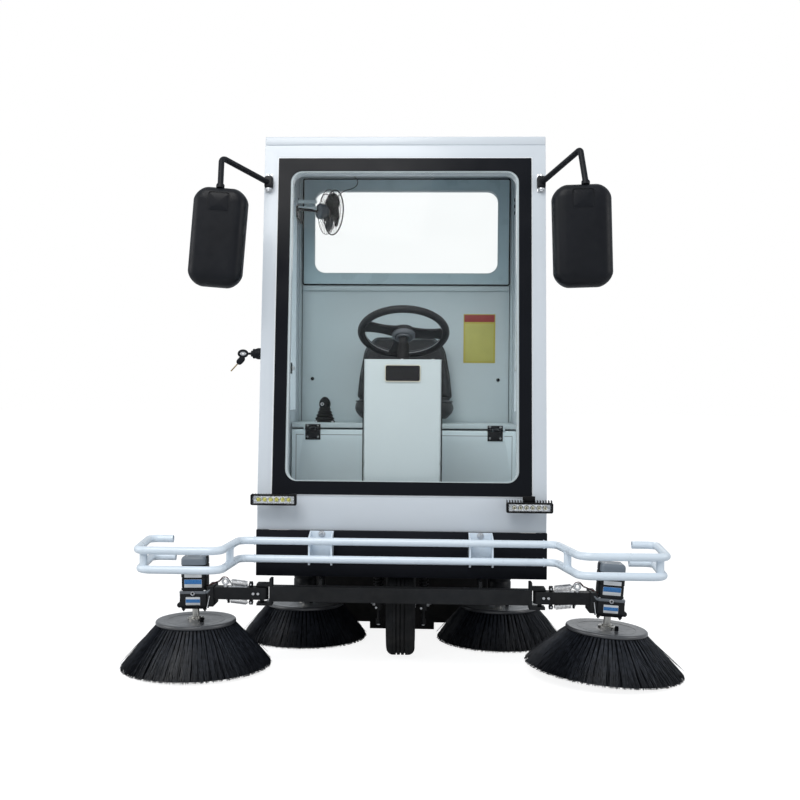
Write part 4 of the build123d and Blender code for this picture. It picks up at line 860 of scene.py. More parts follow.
# ---- brush drives and arms
def brush_drive(side, side_name):
    """A right-angle gear motor: chamfered gearbox, pale top plate, square motor in three stages and a grey
    cap, with blank plates, a ring plug and bolts."""
    place = hub(f"outer_brush_spin_{side_name}")
    low, high, top, cap = 0.045, 0.102, 0.112, 0.24
    gear, motor = 0.052, 0.046
    shape = Shape()
    shape.add(place(stacked(gear, gear, 0.007, [(0.012, low), (0.003, low + 0.007), (0, low + 0.014),
        (0.0015, high - 0.012), (0.001, high - 0.001), (0.002, high)])), 0)
    shape.slab(1, place, gear, gear, high, top, 0.0018, 0.009)
    corners = [(x * 0.043, y * 0.043) for x in (-1, 1) for y in (-1, 1)]
    shape.add(bolts(place.moved(z=top), corners, 0.0052), 2)
    for x in (-1, 1):
        for y in (-0.03, 0.03):
            stud = place.moved(x * 0.04, y, low - 0.01)
            shape.lathe(0, stud, mm("3.5 0, 3.5 5, 7 5, 7 13"), 6)
    ear = facing(place((side * (gear + 0.001), -0.02, low + 0.014)), -place.y, place.x)
    shape.lathe(0, ear, mm("8.5 -24, 9.5 -23, 9.5 21, 8.5 22"), 24)
    shape.add(bolts(ear.moved(z=0.022), MIDDLE, 0.0062), 0)
    for start, stop, inset in ((top, 0.1235, 0.0), (0.125, 0.16, 0.001), (0.1615, 0.205, 0.0)):
        shape.slab(0, place, motor - inset, motor - inset, start, stop, 0.0018, 0.01)
    shape.slab(0, place, motor - 0.003, motor - 0.003, 0.12, 0.208, 0.001, 0.009)
    shape.add(place(stacked(motor, motor, 0.013, [(0.001, 0.208), (0, 0.209), (0, 0.228), (0.002, 0.234),
        (0.007, 0.239), (0.014, cap)])), 3)
    shape.add(bolts(place.moved(z=cap - 0.0008), mm("-26 -26, 26 -26, -26 26, 26 26"), 0.004, ROUND_HEAD, 10),
        2)
    shape.add(place(block((-side * 0.044, -0.016, 0.196), (-side * 0.0465, 0.016, 0.238), 0.0006)), 0)
    face = facing(place((0, -gear, 0.0)), -place.y, place.x)
    front = facing(place((0, -motor, 0.0)), -place.y, place.x)
    # spot, middle, half width, half height, middle and half height of the coloured band
    plates = ((face, 0.076, 0.027, 0.015, 0.0765, 0.0065), (front, 0.1405, 0.033, 0.015, 0.1465, 0.0085),
        (front, 0.17, 0.0325, 0.0075, 0.0, 0.0))
    for spot, middle, wide, tall, band, band_half in plates:
        rise = 1 if spot.y[2] > 0 else -1
        shape.slab(4, spot.moved(y=middle * rise), wide, tall, -0.0005, 0.0009, 0.0003, 0.002)
        if band:
            shape.slab(5, spot.moved(y=band * rise), wide * 0.98, band_half, 0.0, 0.0013, 0.0003, 0.0008)
    plug = facing(place((0, -gear, 0.1045)), -place.y, place.x)
    shape.lathe(2, plug, mm("4 4.5, 4.6 6.2, 6 7.5, 7.4 6.2, 8 4, 8 -1"), 28)
    shape.lathe(0, plug, [(0.0038, 0.0048), (0.0038, 0.004)], 20)
    return shape.build(f"brush_motor_{side_name}", ["gear_black", "cast_grey", "zinc", "cap_grey",
        "plate_silver", "plate_blue"], f"arm_{side_name}", "motor", [f"outer_{side_name}_drive"])


def arm_springs(side, side_name):
    """Two tension springs along the arm, one above and one below it. Their hooks hold posts near the pivot,
    and a ring bolt above and a lug below near the drive."""
    pivot = hub(f"arm_swing_{side_name}").origin
    front = pivot[1] - 0.014
    near, far = pivot[0] + side * 0.04, pivot[0] + side * 0.124
    shape = Shape()
    wire = 0.0019
    for height, near_z, far_z in ((0.306, 0.317, 0.327), (0.261, 0.25, 0.259)):
        a, b = np.array([near, front, near_z]), np.array([far, front, far_z])
        start, stop = a + (b - a) * 0.15, b - (b - a) * 0.1
        shape.add(coil(start, stop, 0.0098, 13, wire), 0)
        for eye, tail in ((a, start), (b, stop)):
            swing = np.radians(np.linspace(30, 330, 16))
            away = unit(tail - eye)
            rise = np.array(UP, float)
            loop = eye + 0.0065 * (np.cos(swing)[:, None] * away + np.sin(swing)[:, None] * rise)
            shape.pipe(0, loop, wire * 0.8, 6, BACK)
        shape.box(1, (near - 0.007, front + 0.004, min(near_z - 0.01, height)), (near + 0.007, front + 0.012,
            max(near_z + 0.01, height + 0.004)), 0.0015)
        post = facing((near, front + 0.008, near_z), FRONT)
        shape.lathe(1, post, mm("8.5 0, 8.5 10, 7 14"), 14)
        shape.lathe(0, post.moved(z=0.013), mm("4 0, 3.4 2, 0 2.6"), 12)
    # ring bolt near the drive, its foot on the arm, and the lug of the lower spring
    ring_x = pivot[0] + side * 0.136
    swing = np.radians(np.linspace(0, 360, 28, endpoint=False))
    loop = np.stack([ring_x + 0.0105 * np.cos(swing), 0 * swing + front, 0.3275 + 0.0105 * np.sin(swing)], -1)
    shape.hoop(0, loop, 0.0042, 10, BACK)
    shape.lathe(0, Place((ring_x, front, 0.3055), UP), mm("7.5 0, 7.5 6, 4.5 7, 4.5 14"), 12)
    shape.box(1, (far - 0.004, front - 0.002, 0.246), (far + 0.004, front + 0.01, 0.262), 0.001)
    # zinc strip under the upper spring as a painted highlight on the arm's top face, and the two thin leads
    # over the ring
    shape.box(0, (near + side * 0.012, front - 0.008, 0.3058), (ring_x - side * 0.012, front + 0.01, 0.3095),
        0.0012)
    drive = hub(f"outer_brush_spin_{side_name}")
    for number, (lift, paint) in enumerate(((0.012, 2), (0.008, 1))):
        points = [drive((-side * 0.044, -0.01 + 0.006 * number, 0.125)), (ring_x + side * 0.022, front,
            0.318 + lift), (ring_x + side * 0.008, front - 0.003, 0.334 + lift), (ring_x - side * 0.008,
            front - 0.001, 0.33 + lift), (ring_x - side * 0.022, front + 0.012, 0.316),
            (ring_x - side * 0.026, front + 0.018, 0.3045)]
        shape.pipe(paint, bent(points, (0.008, 0.01, 0.008, 0.008), 6), 0.0014, 8, BACK)
    return shape.build(f"arm_springs_{side_name}", ["zinc", "black_steel", "red_lead"], f"arm_{side_name}",
        "motor")


def arm_details(side, side_name):
    """Bolts of the arm's end plate, the stay behind the gearbox, and the boss and plate over the pivot."""
    drive = hub(f"outer_brush_spin_{side_name}")
    pivot = hub(f"arm_swing_{side_name}").origin
    shape = Shape()
    inner = -side * 0.064
    for y in (-0.036, 0.036):
        for z in (0.066, 0.118):
            spot = facing(drive((inner, y, z)), drive.x * -side, drive.y)
            shape.add(bolts(spot, MIDDLE, 0.006), 1)
    # pale rod from the gearbox's top plate up to the arm, and below it a thin zinc rod painted as the light
    # line at
    #     # the gearbox's corner
    shape.pipe(2, np.linspace(drive((-side * 0.05, -0.05, 0.106)), drive((-side * 0.07, -0.046, 0.124)), 4),
        0.005, 12, BACK)
    a, b = drive((-side * 0.0535, -0.0535, 0.052)), drive((-side * 0.0625, -0.0535, 0.096))
    shape.pipe(1, np.linspace(a, b, 4), 0.0018, 8, BACK)
    # cover plate over the pivot and the round boss on the arm beside it
    shape.box(0, pivot + np.array([-0.018, -0.018, 0.0435]), pivot + np.array([0.018, 0.018, 0.0465]), 0.001)
    boss = Place(pivot + np.array([side * 0.012, 0, 0.0435]), UP)
    shape.lathe(0, boss, mm("11.5 0, 11.5 6, 9 9, 0 10"), 24)
    for x in (0.012, 0.03):
        spot = facing(pivot + np.array([side * x, -0.025, 0.0225]), FRONT)
        shape.add(bolts(spot, MIDDLE, 0.0055), 1)
    return shape.build(f"arm_fittings_{side_name}", ["black_steel", "zinc", "cast_grey"], f"arm_{side_name}",
        "black_frame")


class SWEEPER_OT_drives(bpy.types.Operator):
    """Gear motors of the outer brushes, with their arms' springs and fittings"""
    bl_idname = "sweeper.drives"
    bl_label = "Brush drives"

    def execute(self, context):
        for side, side_name in SIDES:
            brush_drive(side, side_name)
            arm_springs(side, side_name)
            arm_details(side, side_name)
            rounded_copy(f"brush_arm_{side_name}", f"arm_bar_{side_name}", 0.0015, "black_steel",
                f"arm_{side_name}")
        return {"FINISHED"}


# ---- bumper
class BumperSettings(bpy.types.PropertyGroup):
    """Bumper tube and brackets."""
    tube: length("Tube radius", "Outer radius of the bent tube", 0.014)
    bore: length("Bore radius", "Inner radius at the open ends", 0.0115)
    strut: length("Strut radius", "Radius of the short uprights", 0.0135)
    upper: length("Upper rail", "Height of the upper rail", 0.48)
    lower: length("Lower rail", "Height of the lower rail", 0.413)
    bracket_x: length("Bracket place", "Distance of each bracket from the middle", 0.3)
    bracket_half: length("Bracket half width", "Half the width of a bracket", 0.045)


# corners of the rails from the hooked end to the middle: X, and distance in front of the nose
HOOK = mm("852 70, 942 70, 913 380")
LEFT_BEND = ((0.623, 0.38), (0.603, 0.09))
RIGHT_BEND = ((0.62, 0.38), (0.575, 0.09))
STRUTS = mm("-895 362, -613 235, 597 235, 895 362")


def weld_bead(shape, centre, radius, axis):
    """A weld bead: a thin ring whose height and thickness ripple with the turn."""
    turn = np.linspace(0, 2 * np.pi, 48, endpoint=False)
    place = Place(centre, axis, (0.2, 1, 0.1))
    path = place(circle(radius, 48, 0.0007 * np.sin(turn * 11)))
    shape.hoop(0, path, 0.0019 + 0.0003 * np.cos(turn * 9), 6, axis)


def bumper_bracket(shape, side, sizes, nose):
    """A channel: a face plate on the skirt with two webs that reach the rails, and its bolts."""
    skirt_y, back_y = nose - 0.012, nose - 0.09
    middle = side * sizes.bracket_x
    low, high, thick = 0.392, 0.5105, 0.006
    shape.box(0, (middle - sizes.bracket_half, skirt_y - thick, low), (middle + sizes.bracket_half, skirt_y,
        high), 0.0012)
    for edge in (-1, 1):
        x = middle + edge * (sizes.bracket_half - thick / 2)
        web = np.array([(skirt_y, low), (back_y, low), (back_y, high - 0.016), (skirt_y, high)])
        corners = np.concatenate([np.full((4, 1), x - thick / 2), web], -1)
        other = corners + np.array([thick, 0, 0])
        shape.add(np.stack([corners.mean(0) + 0 * corners, corners, other, other.mean(0) + 0 * other]), 0)
        shape.bolt(2, (x, back_y + 0.01, low + 0.0005), DOWN, 0.0045)
        shape.bolt(2, (x, back_y, sizes.lower - sizes.tube + 0.0008), DOWN, 0.0048)
    front = facing((middle, skirt_y - thick, 0.4985), FRONT)
    shape.lathe(2, front, mm("13.5 0, 13 1.8, 0 2"), 24)
    shape.add(bolts(front.moved(z=0.0015), MIDDLE, 0.0095), 2)


class SWEEPER_OT_bumper(bpy.types.Operator):
    """Bent tube bumper with open ends, uprights, weld beads and channel brackets"""
    bl_idname = "sweeper.bumper"
    bl_label = "Bumper"

    def execute(self, context):
        sizes = context.scene.sweeper_bumper
        nose = ends("cab_shell")[0][1]
        shape = Shape()
        for height, shift in ((sizes.lower, -0.006), (sizes.upper, 0.004)):
            left = [(-x - shift, y) for x, y in HOOK] + [(-x, y) for x, y in LEFT_BEND]
            right = [(x, y) for x, y in RIGHT_BEND[::-1]] + [(x + shift, y) for x, y in HOOK[::-1]]
            radii = (0.032, 0.045, 0.05, 0.035, 0.035, 0.05, 0.045, 0.032)
            path = bent([(x, nose - y, height) for x, y in left + right], radii, 14)
            rings = tube(path, sizes.tube, 28, UP)[1:-1]
            inside = tube(path, sizes.bore, 28, UP)[1:-1]
            deep = 3
            shape.add(np.concatenate([inside[deep::-1], rings, inside[:-deep - 1:-1]]), 0)
            for end, inner in ((deep, deep + 1), (-deep, -deep - 1)):
                plug = facing(path[end], path[end] - path[inner], UP)
                shape.lathe(1, plug, [(sizes.bore * 0.99, 0), (sizes.bore * 0.99, 0.001)], 24)
            for x in (-0.545, 0.53):
                weld_bead(shape, np.array([x, nose - 0.09, height]), sizes.tube + 0.0006, (1, 0.12, 0))
        for x, y in STRUTS:
            foot = np.array([x, nose - y, sizes.lower])
            post = np.linspace(foot, foot + np.array([0, 0, sizes.upper - sizes.lower]), 5)
            shape.pipe(0, post, sizes.strut, 22, BACK)
            for z in (sizes.lower + sizes.tube * 0.55, sizes.upper - sizes.tube * 0.55):
                weld_bead(shape, np.array([x, nose - y, z]), sizes.strut + 0.0014, UP)
        for side, _ in SIDES:
            bumper_bracket(shape, side, sizes, nose)
        shape.build("tube_bumper", ["tube_paint", "black_rubber", "zinc"], "machine", "tube", ["bumper"])
        return {"FINISHED"}


# ---- wheels and fork
def wheel(prefix, joint, body):
    """A solid tyre with round shoulders, ribs between grooves and a side ring, and its dished steel rim."""
    place = hub(joint)
    low, high = ends(f"{prefix}_tyre")
    half, radius = (high[0] - low[0]) / 2, (high[2] - low[2]) / 2
    bead, shoulder = 0.112, 0.026
    groove, deep, pitch, count = 0.005, 0.0068, 0.016, 5
    side_wall = [(bead, half - 0.012), (bead + 0.003, half - 0.004), (bead + 0.012, half - 0.0005),
        (bead + 0.03, half), (bead + 0.034, half + 0.0008), (bead + 0.038, half), (radius - shoulder, half)]
    curve = [(radius - shoulder + shoulder * math.sin(a), half - shoulder + shoulder * math.cos(a))
        for a in np.radians((22, 45, 68, 90))]
    tread = []
    first = (count - 1) / 2 * pitch
    for number in range(count):
        middle = first - number * pitch
        tread += [(radius, middle + groove / 2 + 0.0008), (radius - 0.0008, middle + groove / 2),
            (radius - deep, middle + groove / 2 - 0.0006), (radius - deep, middle - groove / 2 + 0.0006),
            (radius - 0.0008, middle - groove / 2), (radius, middle - groove / 2 - 0.0008)]
    upper = side_wall + curve
    profile = upper + tread + [(r, -h) for r, h in reversed(upper)]
    tyre = Shape().add(place(turned(profile, 96)), 0, rows=True)
    tyre.build(f"{prefix}_tread", ["tyre_rubber"], body, "tyre", [f"{prefix}_tyre"], 28)
    rim = Shape()
    edge, deep_side = half - 0.004, 0.01
    section = [(0.0126, edge), (0.03, edge), (0.034, edge - 0.003), (0.034, deep_side + 0.01),
        (0.04, deep_side), (0.066, deep_side - 0.003), (0.082, deep_side + 0.004), (0.094, edge - 0.02),
        (0.099, edge - 0.004), (0.104, edge), (0.1115, edge - 0.001), (0.1118, edge - 0.006)]
    rim.add(place(turned(section + [(r, -h) for r, h in reversed(section)], 72)), 0, rows=True)
    for sign in (-1, 1):
        cap = Place(place((0, 0, sign * (edge - 0.004))), place.z * sign)
        rim.add(cap(turned(mm("12.6 0, 24 0, 24 6, 21 11, 12.6 12"), 32)), 0)
        spots = around(0.056, np.arange(5) * 72 + 18)
        rim.add(bolts(Place(place((0, 0, sign * (deep_side - 0.002))), place.z * sign), spots, 0.008), 1)
    rim.build(f"{prefix}_wheel_rim", ["rim_grey", "zinc"], body, "rim", [f"{prefix}_rim"])


class SWEEPER_OT_wheels(bpy.types.Operator):
    """Tyres and rims, and the nuts, bolts and springs of the front fork"""
    bl_idname = "sweeper.wheels"
    bl_label = "Wheels"

    def execute(self, context):
        wheel("front", "front_wheel_spin", "front_wheel")
        for _, side_name in SIDES:
            wheel(f"rear_{side_name}", f"rear_{side_name}_wheel_spin", f"rear_wheel_{side_name}")
        rounded_copy("front_fork", "steering_fork_frame", 0.0012, "black_steel", "steering_fork")
        fork = hub("front_wheel_spin").origin
        low, high = ends("front_fork")
        shape = Shape()
        leg = high[0] - 0.013
        for side, _ in SIDES:
            outer = facing((side * high[0], fork[1], fork[2]), (side, 0, 0), BACK)
            shape.add(bolts(outer, MIDDLE, 0.016), 0)
            shape.lathe(0, outer, mm("8 10, 8 18, 6.5 19.5"), 20)
            for x in (-0.018, 0.018):
                shape.bolt(0, (side * leg + x * 0.5, fork[1] - 0.028, fork[2] + x), FRONT, 0.005)
            knob = facing((side * leg, fork[1], low[2]), DOWN)
            shape.add(bolts(knob.moved(z=-0.002), MIDDLE, 0.009), 0)
            coil_top, coil_low = fork[2] + 0.105, fork[2] + 0.03
            shape.add(coil((side * leg, fork[1], coil_low), (side * leg, fork[1], coil_top), 0.0185, 6,
                0.0028), 1)
        shape.build("fork_fittings", ["zinc", "black_steel"], "steering_fork", "black_frame")
        return {"FINISHED"}


# ---- mirrors
# side, X and height of the head's middle, lean in degrees, width, height, foot's offset along the head, X and
# height above the clamp of the arm's bend, and radius of that bend
MIRRORS = (
    (-1, 0.686, 1.606, -4.5, 0.218, 0.37, 0.004, 0.682, 0.056, 0.026),
    (1, 0.655, 1.615, -2.0, 0.232, 0.378, 0.014, 0.651, 0.085, 0.014),
)


class MirrorSettings(bpy.types.PropertyGroup):
    """Mirror heads and arms."""
    deep: length("Head depth", "Depth of a mirror head", 0.066)
    corner: length("Corner", "Radius of the head's corners", 0.048)
    bulge: length("Side bulge", "How far each side of a head bows out", 0.016)
    crown: length("Crown", "How far the top and bottom bow out", 0.008)
    arm: length("Arm radius", "Radius of the bent arm", 0.011)


def bowed(half_u, half_v, corner, profile, bulge, crown):
    """Stacked outlines whose sides bow out: u grows by bulge times 1 - (v / half)^2, v by crown likewise. The
    outlines are as much smaller, so that the bowed ones reach the given halves."""
    points = stacked(half_u - bulge, half_v - crown, corner, profile, 12)
    u, v = points[..., 0], points[..., 1]
    wide = u / (half_u - bulge) * bulge * (1 - (v / half_v) ** 2)
    tall = v / (half_v - crown) * crown * (1 - (u / half_u) ** 2)
    return np.stack([u + wide, v + tall, points[..., 2]], -1)


class SWEEPER_OT_mirrors(bpy.types.Operator):
    """Moulded mirror heads with their glass, bent arms and clamps"""
    bl_idname = "sweeper.mirrors"
    bl_label = "Mirrors"

    def execute(self, context):
        sizes = context.scene.sweeper_mirror
        front, deep = ends("mirror_heads")[0][1], sizes.deep
        nose = ends("cab_shell")[0][1]
        heads, arms = Shape(), Shape()
        for side, x, z, lean, wide, tall, foot_set, bend_x, bend_rise, bend in MIRRORS:
            lean = math.radians(lean)
            up = np.array([side * math.sin(lean), 0, math.cos(lean)])
            out = np.array([side * math.cos(lean), 0, -math.sin(lean)])
            centre = np.array([side * x, front + deep, z])
            head = facing(centre, FRONT, np.cross(up, FRONT))
            swell = [(0.004, 0.0), (0.0, 0.003), (0.0, 0.02), (0.001, 0.028), (0.003, 0.038), (0.007, 0.047),
                (0.012, 0.054), (0.019, 0.06), (0.03, 0.064), (0.046, 0.0655), (0.07, deep)]
            heads.add(head(bowed(wide / 2, tall / 2, sizes.corner, swell, sizes.bulge, sizes.crown)), 0)
            bezel = (wide / 2 - sizes.bulge - 0.002, tall / 2 - sizes.crown - 0.002, sizes.corner - 0.004)
            glass = (wide / 2 - sizes.bulge - 0.011, tall / 2 - sizes.crown - 0.011, sizes.corner - 0.012)
            heads.ring(0, head, bezel, glass, -0.003, 0.002, 0.001, 8)
            heads.slab(1, head, glass[0], glass[1], -0.0012, 0.001, 0.0004, glass[2])
            pad_rise = tall / 2 - 0.06
            pad = head.moved(y=pad_rise if head.y[2] > 0 else -pad_rise, z=deep - 0.003)
            heads.slab(0, pad, 0.036, 0.032, 0.0, 0.0042, 0.0014, 0.007)
            groove = (0.04, 0.036, 0.01), (0.0388, 0.0348, 0.009)
            heads.ring(0, pad, *groove, 0.0, 0.0036, 0.0004, 6)
            foot = centre + np.array([0, -deep / 2, 0]) + up * (tall / 2 + 0.0003) + out * foot_set
            clamp_z = 1.856
            face_y = nose + (clamp_z - SILL) * math.tan(RAKE)
            clamp = np.array([side * 0.531, face_y, clamp_z])
            route = [clamp + np.array([0, -0.012, 0]), np.array([side * bend_x, nose - 0.07,
                clamp_z + bend_rise]), foot + up * 0.005]
            arms.pipe(0, bent(route, (bend,), 12), sizes.arm, 20, (0, 1, 0.1))
            arms.lathe(0, Place(foot - up * 0.003, up), mm("15.5 0, 15.5 9, 13 13.5, 11.5 14, 0 14.5"), 28)
            plate = facing(clamp, (0, -math.cos(RAKE), math.sin(RAKE)))
            arms.slab(1, plate, 0.015, 0.0365, 0.0, 0.003, 0.001, 0.005)
            arms.slab(0, plate, 0.0165, 0.024, 0.0025, 0.0235, 0.002, 0.008)
            arms.lathe(0, plate.moved(z=0.0235), mm("12.5 -2, 12 1, 0 1.2"), 24)
            for rise in (-1, 1):
                pin = Place(plate((0, rise * 0.0235, 0.012)), rise * plate.y)
                arms.lathe(1, pin, mm("12.5 0, 12.5 4, 8.5 6.2, 6 7, 6 10, 0 10.8"), 20)
        heads.build("mirror_shells", ["black_plastic", "mirror_glass"], "machine", "black_trim",
            ["mirror_heads"], 40)
        arms.build("mirror_stalks", ["black_plastic", "zinc"], "machine", "black_trim", ["mirror_arms"])
        return {"FINISHED"}


# ---- steering
class SteeringSettings(bpy.types.PropertyGroup):
    """Hand wheel."""
    radius: length("Wheel radius", "Radius of the grip's middle line", 0.1705)
    grip: length("Grip radius", "Radius of the padded grip", 0.0155)
    spoke: length("Spoke half width", "Half the width of a spoke at its waist", 0.029)
    flare: length("Spoke flare", "How much wider a spoke's ends are, on each side", 0.014)


def hand_wheel(sizes, place):
    """The grip is a tube round a circle. A spoke is stacked sections whose half width is the waist's plus
    flare times (2 share - 1)^2, and the boss is turned profiles."""
    shape = Shape()
    turn = np.linspace(0, 2 * np.pi, 96, endpoint=False)
    middle = circle(sizes.radius, 96)
    grip = sizes.grip - 0.0004 * (np.cos(turn * 48) > 0.99)
    shape.hoop(0, place(middle), grip, 20, place.z)
    # thin zinc ring along the grip's inner underside, painted as the glint on that edge
    steel = middle * (1 - (sizes.grip - 0.0002) / sizes.radius) - np.array([0, 0, 0.002])
    shape.hoop(2, place(steel), 0.0013, 6, place.z)
    for degrees in (3, 197, 100):
        away = math.cos(math.radians(degrees)) * place.x + math.sin(math.radians(degrees)) * place.y
        out = facing(place((0, 0, 0)), away, np.cross(place.z, away))
        share = np.linspace(0, 1, 13)
        reach = 0.02 + share * (sizes.radius - 0.022)
        half = sizes.spoke + sizes.flare * (2 * share - 1) ** 2
        rings = np.stack([np.concatenate([outline(wide, 0.0056, 0.0045, 3), np.full((16, 1), far)],
            -1) for wide, far in zip(half, reach)])
        shape.add(out(capped(rings)), 0)
    shape.lathe(0, place, mm("24 16.5, 25.5 15.5, 26.5 14, 40 12.5, 47 8, 48 2, 48 -10"), 48)
    shape.loop(1, place, mm("34 -10, 47.5 -10, 47.2 -15, 41.5 -23.5, 37 -25, 34.5 -24"), 56)
    shape.loop(1, place, mm("20.5 -12, 30.5 -12, 30.5 -27, 28.5 -30.5, 24 -31, 20.5 -30"), 48)
    shape.lathe(0, place, mm("36 -10, 36 -15, 19.5 -15.5, 19.5 -59.5"), 40)
    shape.build("wheel_with_boss", ["grip_foam", "cast_grey", "zinc"], "hand_wheel", "black_trim",
        ["steering_wheel"], 40)


def column_trim():
    """The badge's border, dark edge trims at the column's sides, and small screws on its top edge."""
    low, high = ends("steering_column")
    badge_low, badge_high = ends("badge_plate")
    front = low[1]
    shape = Shape()
    middle = np.array([0, front, (badge_low[2] + badge_high[2]) / 2])
    sign = facing(middle, FRONT)
    wide, tall = 0.07, (badge_high[2] - badge_low[2]) / 2
    shape.ring(0, sign, (wide, tall, 0.008), (wide - 0.0034, tall - 0.0034, 0.006), 0.0, 0.0045, 0.0006)
    for side, _ in SIDES:
        edge = block((side * 0.1522, front + 0.004, low[2]), (side * 0.156, front + 0.014, high[2] - 0.004),
            0.0008)
        shape.add(edge, 1)
        shape.bolt(1, (side * 0.152, front + 0.002, 0.762), (side, 0, 0), 0.006, ROUND_HEAD, 12, across=BACK)
        shape.bolt(2, (side * 0.152, front + 0.04, 1.085), (side, 0, 0), 0.005, ROUND_HEAD, 12, across=BACK)
    for x in (-0.003, 0.117):
        shape.add(bolts(Place((x, front + 0.012, high[2] - 0.0004), UP), MIDDLE, 0.0058, ROUND_HEAD, 14), 2)
    shape.build("column_trim", ["badge_pale", "black_rubber", "zinc"], "machine", "plate")


class SWEEPER_OT_steering(bpy.types.Operator):
    """Hand wheel with its padded grip, broad spokes and boss, the boot and the column's trim"""
    bl_idname = "sweeper.steering"
    bl_label = "Steering"

    def execute(self, context):
        sizes = context.scene.sweeper_steering
        place = hub("steering")
        hand_wheel(sizes, place)
        boot = Shape()
        height = np.linspace(-0.0605, -0.15, 19)
        radius = 0.0225 + 0.004 * (height[0] - height) / 0.14 + 0.0006 * np.cos(np.arange(19) * np.pi)
        boot.add(place(turned([(0, height[0])] + list(zip(radius, height)) + [(0, height[-1])], 40)))
        boot.build("column_boot", ["black_rubber"], "machine", "rubber", ["steering_boot"], 60)
        column_trim()
        return {"FINISHED"}


# ---- seat and lever
class SeatSettings(bpy.types.PropertyGroup):
    """Seat pads, and how they are puffed out."""
    pressure: FloatProperty(name="Pressure", description="Air pressure that puffs the pads out", default=4.0)
    voxel: length("Voxel", "Size of the pads' mesh before they are puffed out", 0.006)
    cushion_cap: length("Cushion cap", "Furthest that the cushion's skin moves", 0.01)
    back_cap: length("Backrest cap", "Furthest that the backrest's skin moves", 0.008)
    piping: length("Piping radius", "Radius of the piping along the seams", 0.003)


def puffed(shape, name, voxel, pressure, cap, low, high):
    """The pad's skin remeshed, blown up by the cloth solver, held within cap of where it started and inside
    its room, then made finer by one subdivision. The solver's result is kept as plain points."""
    made = shape.build(name, ["vinyl"], "seat_lid", "seat")
    scene = bpy.context.scene
    remesh = made.modifiers.new("remesh", "REMESH")
    remesh.mode, remesh.voxel_size = "VOXEL", voxel
    settle(made)
    start = points_of(made.data)
    cloth = made.modifiers.new("cloth", "CLOTH")
    cloth.settings.use_pressure = True
    cloth.settings.uniform_pressure_force = pressure
    cloth.settings.effector_weights.gravity = 0.0
    cloth.settings.quality = 4
    cloth.settings.mass = 0.35
    cloth.settings.bending_stiffness = 1.5
    cloth.point_cache.frame_end = 20
    for number in range(1, 21):
        scene.frame_set(number)
    settle(made)
    scene.frame_set(1)
    moved = points_of(made.data) - start
    far = np.linalg.norm(moved, axis=1, keepdims=True)
    points = start + moved * np.minimum(1.0, cap / np.maximum(far, 1e-9))
    made.data.vertices.foreach_set("co", np.clip(points, low, high).astype(np.float32).ravel())
    finer = made.modifiers.new("finer", "SUBSURF")
    finer.levels = finer.render_levels = 1
    settle(made)
    made.data.materials.clear()
    made.data.materials.append(finish("vinyl"))
    made.data.shade_smooth()
    return made


def points_of(mesh):
    """The mesh's points as rows."""
    points = np.empty(len(mesh.vertices) * 3, np.float32)
    mesh.vertices.foreach_get("co", points)
    return points.reshape(-1, 3).astype(float)


def settle(made):
    """Turns what the modifiers show into the object's own mesh."""
    bpy.context.view_layer.update()
    graph = bpy.context.evaluated_depsgraph_get()
    mesh = bpy.data.meshes.new_from_object(made.evaluated_get(graph))
    old, made.data = made.data, mesh
    made.modifiers.clear()
    bpy.data.meshes.remove(old)


def slabs_under(low, high):
    """Closed box with rounded corners between the cushion's top and the backrest's lower edge."""
    return block((low[0] + 0.01, low[1] + 0.012, low[2] - 0.006), (high[0] - 0.01, high[1] - 0.014,
        low[2] + 0.014), 0.004)


def seat_cushion(sizes):
    """Outlines that widen from the foot to the seam and close over the top, puffed out, with piping."""
    low, high = ends("seat_cushion")
    half, middle = (high - low) / 2, (low + high) / 2
    place = Place(middle * (1, 1, 0), UP)
    inset = sizes.cushion_cap * 0.12
    profile = [(0.06, low[2] + 0.001), (0.03, low[2] + 0.001), (0.022, low[2] + 0.01), (0.01, 0.946),
        (0.002, 0.962), (0.0, 0.978), (0.001, 0.992), (0.007, 1.002), (0.018, high[2] - inset),
        (0.06, high[2] - inset + 0.001)]
    shape = Shape().add(place(stacked(half[0] - inset, half[1] - inset, 0.05, profile, 8)))
    pad = puffed(shape, "seat_pad", sizes.voxel, sizes.pressure, sizes.cushion_cap, low, high)
    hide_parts("seat_cushion")
    seam = Shape()
    edge = np.concatenate([outline(half[0] - 0.009, half[1] - 0.009, 0.043, 8), np.full((36, 1), 1.001)], -1)
    seam.hoop(0, place(edge), sizes.piping, 8, UP)
    bottom = np.concatenate([outline(half[0] - 0.024, half[1] - 0.024, 0.04, 8), np.full((36, 1), 0.938)], -1)
    seam.hoop(0, place(bottom), sizes.piping, 8, UP)
    seam.build("cushion_piping", ["vinyl_edge"], "seat_lid", "seat", (), 60)


